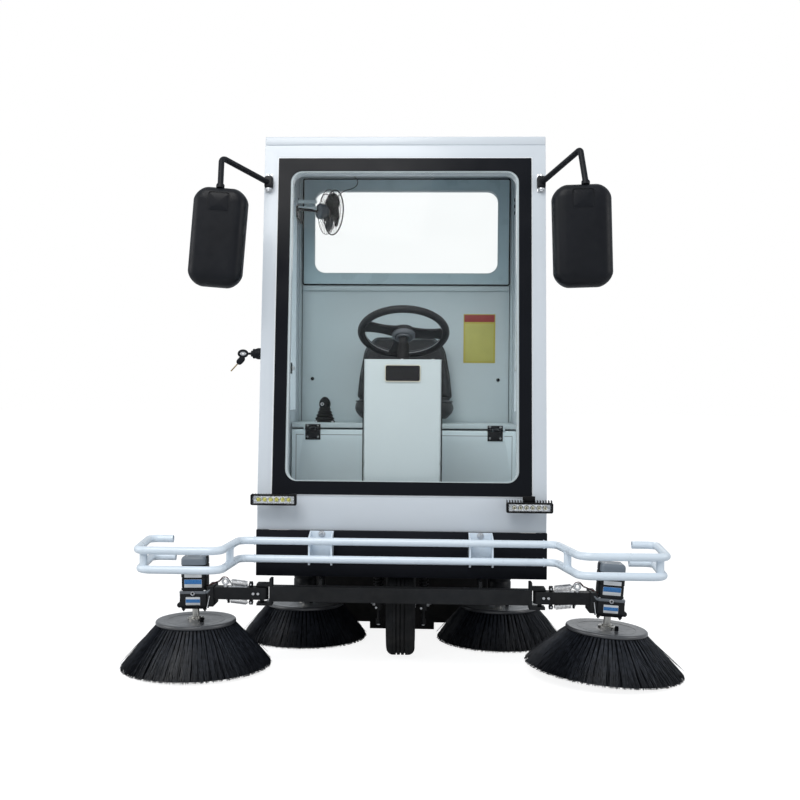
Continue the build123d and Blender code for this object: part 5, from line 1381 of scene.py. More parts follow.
def seat_backrest(sizes):
    """One bent loop scaled by a share at each depth from front to back, puffed out, and its piping."""
    low, high = ends("seat_backrest")
    inset = sizes.back_cap * 0.12
    corners = [(0.223, low[2]), (0.212, 1.116), (0.187, 1.25), (0.138, high[2])]
    loop = [(x - inset, z) for x, z in corners] + [(-x + inset, z) for x, z in corners[::-1]]
    start = [(0.0, low[2])]
    route = bent([(x, 0.0, z) for x, z in start + loop + start], (0.012, 0.2, 0.1, 0.042, 0.042, 0.1, 0.2,
        0.012), 7)
    route = route[:-1]
    centre = np.array([0, 0, (low[2] + high[2]) / 2])
    depths = ((0.62, 0.0), (0.84, 0.001), (0.93, 0.004), (0.975, 0.011), (1.0, 0.024), (1.0, 0.045),
        (0.985, 0.057), (0.95, 0.064), (0.88, 0.0675), (0.62, 0.068))
    deep = (high[1] - low[1] - 2 * inset) / 0.068
    share = np.array([share for share, _ in depths])[:, None, None]
    rings = centre + (route - centre) * share
    rings[..., 1] = low[1] + inset + np.array([d for _, d in depths])[:, None] * deep
    pad = puffed(Shape().add(capped(rings)), "backrest_pad", sizes.voxel, sizes.pressure, sizes.back_cap, low,
        high)
    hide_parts("seat_backrest")
    shape = Shape().add(slabs_under(low, high))
    shape.build("backrest_foot", ["vinyl"], "seat_lid", "seat", (), 40)
    edge = centre + (route - centre) * 0.972
    edge[:, 1] = low[1] + 0.0115
    seam = Shape().hoop(0, edge, sizes.piping, 8, BACK)
    seam.build("backrest_piping", ["vinyl_edge"], "seat_lid", "seat", (), 60)


def lever_gaiter():
    """Ribbed boot: five folds whose radius shrinks with height, a ring and a round knob."""
    low, high = ends("lever_boot")
    place = Place(((low[0] + high[0]) / 2, (low[1] + high[1]) / 2, low[2]), UP)
    shape = Shape()
    profile = mm("0 0, 46 0, 46 4, 43 8")
    for fold in range(4):
        foot = 0.01 + 0.0145 * fold
        wide = 0.0435 - 0.0052 * fold
        profile += [(wide - 0.0045, foot), (wide, foot + 0.0045), (wide - 0.0005, foot + 0.0085),
            (wide - 0.006, foot + 0.0125)]
    profile += mm("23.5 69, 26.2 78, 25.8 90, 21.5 101, 16.5 107, 9.5 113.5, 0 115.5")
    shape.add(place(turned(profile, 40)), 0)
    ring_place = facing(place((-0.0095, -0.0245, 0.082)), (-0.35, -1, 0.1), RIGHT)
    shape.loop(1, ring_place, mm("4.5 0, 7.8 0, 7.8 3, 6.6 4.2, 4.5 3"), 20)
    for x, y in mm("-36 -28, 36 -28, -36 28, 36 28"):
        shape.lathe(1, place.moved(x, y, 0.001), mm("6.5 0, 5.5 5, 0 6"), 12)
    shape.build("lever_gaiter", ["black_rubber", "zinc"], "seat_lid", "rubber", ["lever_boot"])


class SWEEPER_OT_seat(bpy.types.Operator):
    """Seat cushion and backrest with piped seams, and the lever's ribbed boot"""
    bl_idname = "sweeper.seat"
    bl_label = "Seat"

    def execute(self, context):
        sizes = context.scene.sweeper_seat
        seat_cushion(sizes)
        seat_backrest(sizes)
        lever_gaiter()
        return {"FINISHED"}


# ---- fan
# the fan lead's way: X, distance behind the nose, height above the fan's middle
LEAD_WAYS = mm("-381 770 65, -363 752 78, -340 726 63, -323 702 39, -306 689 46, -285 713 75, -271 751 93, "
    "-247 766 99, -222 778 116, -217 788 143, -244 797 170, -266 804 184")


class FanSettings(bpy.types.PropertyGroup):
    """Cab fan."""
    guard: length("Guard radius", "Radius of the wire guard", 0.1)
    wire: length("Ring wire", "Radius of the guard's ring wire", 0.0029)
    blade: length("Blade radius", "Radius of the blades", 0.088)
    blades: IntProperty(name="Blades", description="Number of blades", default=4, min=2)
    lead: length("Lead radius", "Radius of the fan's lead", 0.002)


def lead_curve(name, ways):
    """A quadratic B-spline that starts and stops on its end points and is drawn towards the others."""
    curve = bpy.data.curves.new(name, "CURVE")
    curve.dimensions = "3D"
    line = curve.splines.new("NURBS")
    line.points.add(len(ways) - 1)
    line.points.foreach_set("co", np.concatenate([ways, np.ones((len(ways), 1))], -1).ravel())
    line.order_u, line.use_endpoint_u, line.resolution_u = 3, True, 12
    made = bpy.data.objects.new(name, curve)
    bpy.context.scene.collection.objects.link(made)
    return made


class SWEEPER_OT_lead(bpy.types.Operator):
    """The fan's lead from its motor to the ceiling"""
    bl_idname = "sweeper.lead"
    bl_label = "Fan lead"

    def execute(self, context):
        sizes = context.scene.sweeper_fan
        nose = ends("cab_shell")[0][1]
        fan = hub("fan_spin").origin
        ceiling = ends("fan_lead")[1][2]
        ways = [(fan[0] - 0.05196, fan[1] - 0.03, fan[2] + 0.0403)]
        ways += [(x, nose + back, fan[2] + rise) for x, back, rise in LEAD_WAYS]
        ways += [(ways[-1][0], ways[-1][1], ceiling)]
        cord = lead_curve("fan_cord", ways)
        cord.data.bevel_depth = sizes.lead
        cord.data.bevel_resolution = 4
        cord.data.use_fill_caps = True
        cord.data.materials.append(finish("lead_sheath"))
        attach(cord, "machine")
        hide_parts("fan_lead")
        ruler = lead_curve("measure", ways)
        context.view_layer.update()
        graph = context.evaluated_depsgraph_get()
        mesh = bpy.data.meshes.new_from_object(ruler.evaluated_get(graph))
        measured = float(np.linalg.norm(np.diff(points_of(mesh), axis=0), axis=1).sum())
        bpy.data.curves.remove(ruler.data)
        bpy.data.meshes.remove(mesh)
        return {"FINISHED"}


def fan_guard(sizes, place):
    """Rings are tubes round circles. Each of 30 wires rises by swell times (1 - share^2) towards the hub."""
    shape = Shape()
    for height, radius, wire in ((0.0, sizes.guard, sizes.wire), (-0.03, sizes.guard, sizes.wire * 0.5),
            (0.0075, sizes.guard * 0.55, 0.0011), (-0.034, sizes.guard * 0.55, 0.0011)):
        shape.hoop(0, place(circle(radius, 72, height)), wire, 10, place.z)
    share = np.linspace(0, 1, 7)
    spin = np.arange(30) * 2 * np.pi / 30
    for height, swell, hub_radius in ((0.0, 0.01, 0.02), (-0.03, -0.006, 0.03)):
        radius = hub_radius + (sizes.guard - hub_radius) * share
        rise = height + swell * (1 - share ** 2)
        wires = np.stack([radius * np.cos(spin)[:, None], radius * np.sin(spin)[:, None],
            np.broadcast_to(rise, (30, 7))], -1)
        shape.pipe(1, place(wires), 0.0008, 4)
    shape.lathe(0, place, mm("0 12.5, 18 12, 20.5 10, 20.5 8.5"), 32)
    shape.lathe(2, place, mm("22 -31, 25 -34, 25.5 -46, 30 -48, 35 -52, 35 -72, 31 -77, 22 -80"), 48)
    for turned_by in np.arange(16) * 2 * np.pi / 16:
        out = np.cos(turned_by) * place.x + np.sin(turned_by) * place.y
        slot = facing(place.origin + out * 0.0348 + place.z * -0.062, out, place.z)
        shape.slab(2, slot, 0.007, 0.0015, 0.0, 0.0014, 0.0005)
    low, high = ends("fan_guard")
    wall_x, wall_y = low[0], high[1]
    z = place.origin[2] + 0.006
    back = place((0, 0, -0.076))
    shape.pipe(0, bent([back, back + (place.z * -0.03), (wall_x + 0.006, back[1] - 0.02, z), (wall_x + 0.006,
        back[1] + 0.02, z)], (0.012, 0.012), 6), 0.0065, 14, UP)
    shape.box(0, (wall_x, back[1] - 0.006, z - 0.034), (wall_x + 0.009, wall_y, z - 0.017), 0.0012)
    shape.box(0, (wall_x, back[1] - 0.016, z - 0.017), (wall_x + 0.009, wall_y, z + 0.017), 0.0012)
    for lift in (0.03, 0.0):
        shape.box(3, (wall_x + 0.009, back[1] - 0.018, z + lift - 0.004), (back[0] - 0.006, back[1] - 0.01,
            z + lift + 0.012), 0.001)
    shape.box(3, ((wall_x + back[0]) / 2 - 0.003, back[1] - 0.017, z), ((wall_x + back[0]) / 2 + 0.006,
        back[1] - 0.011, z + 0.034), 0.001)
    shape.build("fan_cage", ["guard_wire", "guard_wire", "motor_grey", "inner_paint"], "machine",
        "black_trim", ["fan_guard"])


def fan_blades(sizes, place):
    """Each blade is a grid over its length and chord: the chord widens and turns back with the radius, and
    the twist lifts its edges. Both faces and the rim between them close it."""
    shape = Shape()
    share = np.linspace(0, 1, 12)[:, None]
    across = np.linspace(-1, 1, 9)[None, :]
    radius = 0.016 + (sizes.blade - 0.016) * share
    chord = 0.056 + 0.06 * np.sin(share * np.pi * 0.62)
    chord = chord * np.sqrt(np.clip(1 - np.clip(share - 0.72, 0, 1) ** 2 / 0.1, 0.05, 1))
    sweep = 0.55 * share
    swing = sweep + across * chord / 2 / np.maximum(radius, 0.03)
    lift = across * chord / 2 * math.tan(math.radians(16)) * (1.1 - 0.5 * share)
    for number in range(sizes.blades):
        turn = swing + number * 2 * np.pi / sizes.blades
        face = np.stack([radius * np.cos(turn), radius * np.sin(turn), -0.009 + lift * 0.62], -1)
        back = face - np.array([0, 0, 0.0016])
        loop = np.concatenate([face, back[:, ::-1]], 1)
        shape.add(place(capped(loop)), 0)
    shape.lathe(0, place, mm("0 0, 15 -0.5, 19.5 -3, 20.5 -7, 20.5 -20, 18 -22.5, 4 -23, 4 -29.5"), 32)
    shape.build("fan_rotor", ["gloss_black"], "fan", "black_trim", ["fan_blades"])


class SWEEPER_OT_fan(bpy.types.Operator):
    """Wire guard, broad blades, motor and the pale bracket of the cab fan"""
    bl_idname = "sweeper.fan"
    bl_label = "Fan"

    def execute(self, context):
        sizes = context.scene.sweeper_fan
        place = hub("fan_spin")
        place = facing(place.origin, place.z, np.cross(UP, place.z))
        fan_guard(sizes, place)
        fan_blades(sizes, place)
        return {"FINISHED"}


# ---- windows and cab trim
class SWEEPER_OT_windows(bpy.types.Operator):
    """Black band of the windscreen, frame of the rear window, ledge, slots and corner seams"""
    bl_idname = "sweeper.windows"
    bl_label = "Windows"

    def execute(self, context):
        nose = ends("cab_shell")[0][1]
        wall = ends("cab_rear_wall")[0][1]
        screen_top, rear_low, rear_high = 1.956, 1.543, 2.042
        tall = (screen_top - SILL) / math.cos(RAKE)
        screen = facing((0, nose, SILL), (0, -math.cos(RAKE), math.sin(RAKE)))
        rise = 1 if screen.y[2] > 0 else -1
        shape = Shape()
        band = ring((0.494, tall / 2, 0.002), (0.4455, (tall - 0.101) / 2, 0.046), -0.0006, 0.0055, 0.0008,
            12)
        middle = screen.moved(y=rise * tall / 2)
        shape.add(middle(band), 0, rows=True)
        liner = ring((0.4458, (tall - 0.1) / 2, 0.0463), (0.4374, (tall - 0.111) / 2, 0.0412), -0.0068,
            0.0009, 0.0004, 12)
        liner[4:, ..., 1] -= 0.002 * rise
        shape.add(middle(liner), 1, rows=True)
        # thin pale ring round the band: a painted highlight on the frame's edge
        shape.ring(2, middle, (0.499, tall / 2 + 0.0045, 0.004), (0.4936, tall / 2 - 0.0006, 0.002), -0.0004,
            0.0014, 0.0004)
        shape.build("screen_band", ["frit_black", "inner_paint", "pale_seam"], "machine", "frit",
            ["window_bands"])
        rear = Shape()
        back = facing((0, wall, (rear_low + rear_high) / 2), FRONT)
        half, up = 0.485, (rear_high - rear_low) / 2
        rear.ring(1, back, (half, up, 0.01), (half - 0.006, up - 0.006, 0.006), 0.0, 0.0075, 0.0008)
        # wide grey-blue band, its colour lightened as painted light against the ceiling's shade
        rear.ring(0, back, (half - 0.0055, up - 0.0055, 0.006), (0.4275, up - 0.0575, 0.0495), 0.0, 0.0055,
            0.0008, 12)
        rear.ring(2, back, (0.4315, up - 0.0535, 0.0535), (0.427, up - 0.058, 0.049), -0.003, 0.0066, 0.0008,
            12)
        # ledge under the window, seams at the wall's corners and the slots of the pillars
        rear.box(2, (-0.48, wall - 0.01, 1.517), (0.48, wall, 1.5385), 0.0015)
        for side, _ in SIDES:
            rear.box(1, (side * 0.4835, wall - 0.0015, 0.906), (side * 0.486, wall, rear_low), 0.0004)
            rear.box(2, (side * 0.492, wall - 0.014, 0.906), (side * 0.4995, wall, 2.03), 0.0012)
            for z in (1.931, 1.902, 1.871):
                rear.box(1, (side * 0.4975, wall - 0.075, z - 0.007), (side * 0.4998, wall - 0.055,
                    z + 0.007), 0.001)
                rear.box(3, (side * 0.4985, wall - 0.052, z - 0.007), (side * 0.4998, wall - 0.044,
                    z + 0.007), 0.001)
        rear.build("rear_window_frame", ["band_grey", "black_rubber", "inner_paint", "zinc"], "machine",
            "frit")
        return {"FINISHED"}


def cab_fittings():
    """Boxes and turned plugs: the card on the back wall, plugs, door latches and the box's seams."""
    wall = ends("cab_rear_wall")[0][1]
    box, low, high, seam = -0.156, 0.535, 0.8535, 0.0025  # front, foot and top of the battery box, and a seam
    shape = Shape()
    shape.box(0, (0.272, wall - 0.0016, 1.183), (0.42, wall, 1.411), 0.0005)
    shape.box(1, (0.2755, wall - 0.0021, 1.374), (0.4165, wall - 0.001, 1.4075), 0.0004)
    shape.box(2, (0.28, wall - 0.0021, 1.191), (0.412, wall - 0.001, 1.366), 0.0004)
    for side, _ in SIDES:
        plug = facing((side * 0.435, wall, 1.104), FRONT)
        shape.lathe(3, plug, mm("8.5 0, 8 4, 0 5"), 20)
        # door latch plates beside the seat
        inner = side * 0.4995
        shape.box(3, (inner, -0.205, 1.12), (inner - side * 0.006, -0.165, 1.168), 0.001)
        shape.box(4, (inner - side * 0.006, -0.198, 1.136), (inner - side * 0.018, -0.176, 1.152), 0.002)
        # seams of the box's front panel
        near, far = side * 0.158, side * 0.477
        for start, stop, foot in ((near, far, high - seam), (far - side * seam, far, low),
                (near, near + side * seam, low)):
            shape.box(5, (start, box - 0.0008, foot), (stop, box + 0.001, high), 0.0003)
    shape.build("cab_fittings", ["card_yellow", "card_red", "card_paper", "black_plastic", "zinc",
        "seam_grey"], "machine", "black_trim")


def lid_hinges():
    """Black hinge leaves with screws and knuckles, on each side one leaf on the box and one on the lid."""
    axis = hub("seat_lid_hinge").origin
    for name, body, low, high, screw in (("box_hinge_leaves", "machine", 0.8295, 0.8745, 0.8425),
            ("lid_hinge_leaves", "seat_lid", 0.8835, 0.8985, 0.8915)):
        shape = Shape()
        for side, _ in SIDES:
            x = side * 0.4015
            shape.box(0, (x - 0.0335, -0.16, low), (x + 0.0335, -0.1555, high), 0.0012)
            for offset in (-0.023, 0.023):
                shape.bolt(1, (x + offset, -0.16, screw), FRONT, 0.005, ROUND_HEAD, 14)
            knuckles = (0.0,) if body == "machine" else (-0.023, 0.023)
            for offset in knuckles:
                barrel = Place((x + offset, axis[1], axis[2]), RIGHT, BACK)
                shape.lathe(0, barrel, [(0.0058, -0.0112), (0.0058, 0.0112)], 20)
        shape.build(name, ["black_plastic", "screw_grey"], body, "black_trim")


def door_lock():
    """Stepped knob on the left door, the key's round head, a fob that hangs from it and a brass blade."""
    y = ends("cab_shell")[0][1] + 0.172
    door_face, height, key = -0.55, 1.1885, 0.0866  # key is how far the middle of its head stands out
    knob = facing((door_face, y, height), (-1, 0, 0), BACK)
    shape = Shape()
    steps = mm("22.5 0, 22.5 28.5, 20.5 30, 20.5 34, 19 35.5, 19.5 44, 18 46.5, 12.5 47, 11.5 54, 5 55.5, "
        "4.5 65, 0 65.5")
    shape.lathe(0, knob, steps, 32)
    centre = knob((0, 0.0, key))
    swing = np.linspace(0, 2 * np.pi, 32, endpoint=False)
    head = np.stack([centre[0] + 0.017 * np.cos(swing), 0 * swing + y, centre[2] + 0.012 * np.sin(swing)], -1)
    shape.hoop(0, head, 0.005, 12, BACK)
    shape.loop(2, facing(centre, FRONT), mm("3.5 -1.5, 10.5 -1.5, 10.5 1.5, 3.5 1.5"), 20)
    shape.pipe(0, np.linspace(centre + np.array([0.017, 0, 0]), centre + np.array([0.03, 0, 0]), 3), 0.0035,
        10, BACK)
    top = np.array([-0.628, y, 1.176])
    fob_middle, tip = np.array([-0.647, y, 1.16]), np.array([-0.684, y, 1.119])
    hang = unit(tip - fob_middle)
    fob = facing(fob_middle - hang * 0.002, FRONT, np.cross(hang, FRONT))
    shape.slab(0, fob, 0.0125, 0.0195, -0.0035, 0.0035, 0.0016, 0.012)
    shape.pipe(2, np.linspace(top, fob_middle, 4), 0.0022, 8, BACK)
    blade = facing((fob_middle + tip) / 2 + hang * 0.008, FRONT, np.cross(hang, FRONT))
    shape.slab(1, blade, 0.0026, 0.0205, -0.0009, 0.0009, 0.0004)
    shape.build("door_lock_key", ["black_plastic", "brass", "zinc"], "left_door", "black_trim")


def door_seals():
    """A rubber seal round each door's window, and the handle with its plate."""
    for side, side_name in SIDES:
        low, high = ends(f"door_{side_name}_glass")
        outer_face = side * 0.5502
        shape = Shape()
        y_front, y_back = low[1], high[1]
        top_front = y_front + (high[2] - low[2]) * math.tan(RAKE)
        corners = [(y_front, low[2]), (y_back, low[2]), (y_back, high[2]), (top_front, high[2])]
        route = [np.array([outer_face, y, z]) for y, z in corners]
        start = route[0] * 0.5 + route[1] * 0.5
        loop = bent([start, *route[1:], route[0], start], (0.04,) * 4, 8)[:-1]
        shape.hoop(0, loop, 0.0042, 8, RIGHT)
        handle = facing((outer_face, y_front + 0.055, 0.925), (side, 0, 0), BACK)
        shape.slab(0, handle, 0.045, 0.014, 0.0, 0.004, 0.0015, 0.006)
        shape.slab(1, handle, 0.038, 0.0055, 0.004, 0.014, 0.003, 0.005)
        shape.build(f"door_seal_{side_name}", ["black_rubber", "black_plastic"], f"{side_name}_door",
            "rubber")


class SWEEPER_OT_trim(bpy.types.Operator):
    """Hinges, latches, card, plugs and panel seams of the cab, window seals and the door lock with its key"""
    bl_idname = "sweeper.trim"
    bl_label = "Cab trim"

    def execute(self, context):
        cab_fittings()
        lid_hinges()
        door_lock()
        door_seals()
        return {"FINISHED"}


# ---- lamps
class LampSettings(bpy.types.PropertyGroup):
    """Lamp bars under the windscreen."""
    half: length("Half length", "Half the length of a lamp bar", 0.087)
    leds: IntProperty(name="Lamps", description="Lamps in one bar", default=6, min=1)
    pitch: length("Pitch", "Distance from one lamp to the next", 0.0228)


def lamp_bar(shape, sizes, x, z, tall, fins_above):
    """One lamp bar: a framed box, a row of turned cups with their lamps, upright fins and the foot."""
    face = -0.878
    front = facing((x, face, z), FRONT)
    frame_outer, frame_inner = (sizes.half, tall, 0.0065), (sizes.half - 0.0085, tall - 0.006, 0.003)
    shape.ring(0, front, frame_outer, frame_inner, -0.01, 0.0, 0.0014)
    shape.slab(0, front, sizes.half - 0.001, tall - 0.0015, -0.03, -0.0085, 0.0015, 0.005)
    shape.slab(1, front, sizes.half - 0.008, tall - 0.0055, -0.009, -0.0064, 0.0003)
    for spot in (np.arange(sizes.leds) - (sizes.leds - 1) / 2) * sizes.pitch:
        cup = front.moved(x=spot, z=-0.0064)
        shape.loop(1, cup, mm("6 0, 10.2 3.8, 10.8 3.8, 10.8 0, 6 0"), 20)
        shape.slab(2 if fins_above == 0 else 3, cup, 0.0052, 0.0052, 0.0, 0.0012, 0.0003)
        shape.lathe(0 if fins_above else 2, cup, mm("0 3.5, 2.2 3, 3 1.2"), 10)
    top = z + tall + (fins_above if fins_above else -0.001)
    for spot in np.linspace(-sizes.half + 0.004, sizes.half - 0.004, 17):
        if abs(spot) < 0.013 and fins_above:
            continue
        shape.box(0, (x + spot - 0.0012, -0.868, z - tall + 0.002), (x + spot + 0.0012, -0.836, top), 0.0005)
    if fins_above:
        shape.box(0, (x - 0.0235, -0.85, z + tall - 0.004), (x + 0.0225, -0.838, z + tall + 0.0215), 0.0015)
        for spot in (-0.015, 0.015):
            shape.bolt(0, (x + spot, -0.85, z + tall + 0.014), FRONT, 0.0038)
    shape.box(0, (x - 0.024, -0.838, z - 0.012), (x + 0.024, -0.8062, z + 0.012), 0.0015)


def tail_lights():
    """Ribbed red lenses with an amber middle, in a dark frame."""
    shape = Shape()
    low, high = ends("tail_lamps")
    inner = 0.498
    for side, _ in SIDES:
        x = side * (inner + high[0]) / 2
        half = (high[0] - inner) / 2
        lens = facing((x, low[1], (low[2] + high[2]) / 2), BACK)
        up = (high[2] - low[2]) / 2
        shape.ring(0, lens, (half, up, 0.006), (half - 0.003, up - 0.003, 0.004), 0.0, 0.0135, 0.001)
        for number, paint in enumerate((1, 2, 1)):
            rise = (number - 1) * up * 0.64
            tile = lens.moved(y=rise)
            shape.slab(paint, tile, half - 0.004, up * 0.3, 0.0, 0.0118, 0.001)
            ribs = np.linspace(-up * 0.26, up * 0.26, 9)
            for rib in ribs:
                shape.slab(paint, tile.moved(y=rib), half - 0.006, 0.0012, 0.0115, 0.0132, 0.0005)
    shape.build("tail_lights", ["lamp_grey", "red_lens", "amber_lens"], "machine", "tail_lens",
        ["tail_lamps"])


class SWEEPER_OT_lamps(bpy.types.Operator):
    """Lamp bars with frames, reflectors, fins and feet, and the tail lamps"""
    bl_idname = "sweeper.lamps"
    bl_label = "Lamps"

    def execute(self, context):
        sizes = context.scene.sweeper_lamp
        shape = Shape()
        for side, middle_z, tall, fins_above in ((-1, 0.631, 0.021, 0.0), (1, 0.612, 0.0195, 0.0075)):
            lamp_bar(shape, sizes, side * 0.479, middle_z, tall, fins_above)
        shape.build("lamp_housings", ["lamp_grey", "lamp_mirror", "led_yellow", "led_pale"], "machine",
            "lamp_body", ["lamp_bars"])
        tail_lights()
        return {"FINISHED"}


# ---- rear trim
def inner_drives():
    """A round motor over each inner brush on its hanger plate, with fins, a cap and bolts."""
    shape = Shape()
    for _, side_name in SIDES:
        place = Place(hub(f"inner_brush_spin_{side_name}").origin * (1, 1, 0), UP)
        motor = mm("40 197.5, 46 203, 48 208, 48 245, 46 248, 46 252, 48 255, 48 300, 46 303, 46 307, "
            "48 310, 48 392, 44 404, 30 410")
        shape.lathe(0, place, motor, 44)
        shape.slab(1, place, 0.048, 0.048, 0.422, 0.4305, 0.001, 0.006)
        shape.lathe(1, place, [(0.022, 0.408), (0.022, 0.424)], 24)
        spots = around(0.038, (45, 135, 225, 315))
        shape.add(bolts(place.moved(z=0.4295), spots, 0.005, ROUND_HEAD, 10), 2)
    shape.build("inner_brush_drives", ["gear_black", "black_steel", "zinc"], "machine", "motor",
        ["inner_motors"])


def dust_flaps():
    """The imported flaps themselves, with their doubled points merged."""
    mesh = frame["nodes"]["rubber_flaps"].data.copy()
    mesh.materials.clear()
    tidy(mesh, 1e-5)
    piece(mesh, "dust_flaps", ["black_rubber"], "machine", ["rubber_flaps"])


class SWEEPER_OT_rear(bpy.types.Operator):
    """Louvres and handle plate of the rear door, drives of the inner brushes, and the rubber flaps"""
    bl_idname = "sweeper.rear"
    bl_label = "Rear trim"

    def execute(self, context):
        shape = Shape()
        back = 1.194
        for row in range(7):
            z = 1.1 - 0.034 * row
            for x in (-0.2, 0.2):
                shape.box(0, (x - 0.115, back - 0.001, z - 0.0045), (x + 0.115, back + 0.0045, z + 0.0045),
                    0.0018)
                shape.box(1, (x - 0.112, back - 0.001, z - 0.012), (x + 0.112, back + 0.0006, z - 0.0045),
                    0.0003)
        handle = facing((0, back, 0.6), BACK, RIGHT)
        shape.slab(1, handle, 0.06, 0.022, 0.0, 0.003, 0.001, 0.006)
        shape.slab(2, handle, 0.046, 0.01, 0.003, 0.0048, 0.001, 0.005)
        shape.build("rear_door_trim", ["white_paint", "black_plastic", "zinc"], "tailgate", "white_body")
        inner_drives()
        dust_flaps()
        return {"FINISHED"}


# ---- stage
def add_camera(context, stage):
    """Right, up and back are the axes of a view turned by yaw, tilted by pitch and rolled by roll."""
    yaw, pitch, roll = stage.yaw, stage.pitch, stage.roll
    ahead = np.array([-math.sin(yaw) * math.cos(pitch), math.cos(yaw) * math.cos(pitch), math.sin(pitch)])
    right = np.array([math.cos(yaw), math.sin(yaw), 0.0])
    up = np.cross(right, ahead)
    turned_right = right * math.cos(roll) + up * math.sin(roll)
    turned_up = up * math.cos(roll) - right * math.sin(roll)
    axes = np.stack([turned_right, turned_up, -ahead], 1)
    camera = bpy.data.objects.new("camera", bpy.data.cameras.new("camera"))
    context.scene.collection.objects.link(camera)
    camera.matrix_world = Matrix.Translation(stage.eye) @ Matrix(axes.tolist()).to_4x4()
    camera.data.lens = stage.lens
    camera.data.shift_x, camera.data.shift_y = stage.shift_x, stage.shift_y
    context.scene.camera = camera


def add_sky(context, stage):
    """White to the camera and through glass, and an even pale blue light to everything else."""
    world = bpy.data.worlds.new("even_sky")
    context.scene.world = world
    world.use_nodes = True
    tree = world.node_tree
    light = tree.nodes["Background"]
    light.inputs["Color"].default_value = (0.9, 0.95, 1.0, 1)
    light.inputs["Strength"].default_value = stage.sky
    white = tree.nodes.new("ShaderNodeBackground")
    white.inputs["Color"].default_value = (1, 1, 1, 1)
    path = tree.nodes.new("ShaderNodeLightPath")
    most = tree.nodes.new("ShaderNodeMath")
    most.operation = "MAXIMUM"
    tree.links.new(path.outputs["Is Camera Ray"], most.inputs[0])
    tree.links.new(path.outputs["Is Transmission Ray"], most.inputs[1])
    mix = mix_shaders(tree, most.outputs[0], light.outputs[0], white.outputs[0])
    tree.links.new(mix, tree.nodes["World Output"].inputs["Surface"])


def add_lamp(context, name, spot, target, size, power):
    """A square soft lamp at a spot, facing its target."""
    lamp = bpy.data.objects.new(name, bpy.data.lights.new(name, "AREA"))
    context.scene.collection.objects.link(lamp)
    lamp.data.size, lamp.data.energy = size, power
    lamp.data.color = (1.0, 0.985, 0.96)
    lamp.visible_camera = lamp.visible_transmission = False
    lamp.location = spot
    lamp.rotation_euler = (Vector(target) - Vector(spot)).to_track_quat("-Z", "Y").to_euler()


def add_floor(context):
    """A wide plane just below the tyres: mostly white to the camera, with the object's soft shadow."""
    reach, drop = 60.0, 0.0004
    corners = [(-reach, -reach, -drop), (reach, -reach, -drop), (reach, reach, -drop), (-reach, reach, -drop)]
    mesh = bpy.data.meshes.new("floor")
    mesh.from_pydata(corners, [], [(0, 1, 2, 3)])
    floor = bpy.data.objects.new("floor", mesh)
    context.scene.collection.objects.link(floor)
    nodes = Nodes("pale_floor")
    nodes.set(Base_Color=(0.6, 0.61, 0.62), Roughness=0.9, Specular_IOR_Level=0.1)
    glow = nodes.new("ShaderNodeEmission", Strength=1.62)
    glow.inputs["Color"].default_value = (1, 1, 1, 1)
    path = nodes.new("ShaderNodeLightPath")
    share = nodes.new("ShaderNodeMath", operation="MULTIPLY")
    share.inputs[1].default_value = 0.55
    nodes.link(path.outputs["Is Camera Ray"], share.inputs[0])
    mix = mix_shaders(nodes.tree, share.outputs[0], nodes.shader.outputs[0], glow.outputs[0])
    nodes.link(mix, nodes.output.inputs["Surface"])
    mesh.materials.append(nodes.material)


class SWEEPER_OT_stage(bpy.types.Operator):
    """Camera, soft lamps, even sky and a plain pale floor"""
    bl_idname = "sweeper.stage"
    bl_label = "Stage"

    def execute(self, context):
        stage = context.scene.sweeper_stage
        add_camera(context, stage)
        add_sky(context, stage)
        lamps = (
            ("key_lamp", (-1.15, -3.8, 4.6), (0, 0, 1.2), 3.2, stage.key),
            ("fill_left", (-4.6, -1.6, 2.2), (0, 0, 1.0), 2.4, stage.fill),
            ("fill_right", (4.8, -2.2, 2.4), (0, 0, 1.0), 2.4, stage.fill * 0.95),
            ("back_lamp", (0.8, 4.4, 3.6), (0, 0, 1.2), 2.6, stage.fill),
        )
        for name, spot, target, size, power in lamps:
            add_lamp(context, name, spot, target, size, power)
        add_floor(context)
        context.scene.view_settings.view_transform = "Standard"
        return {"FINISHED"}


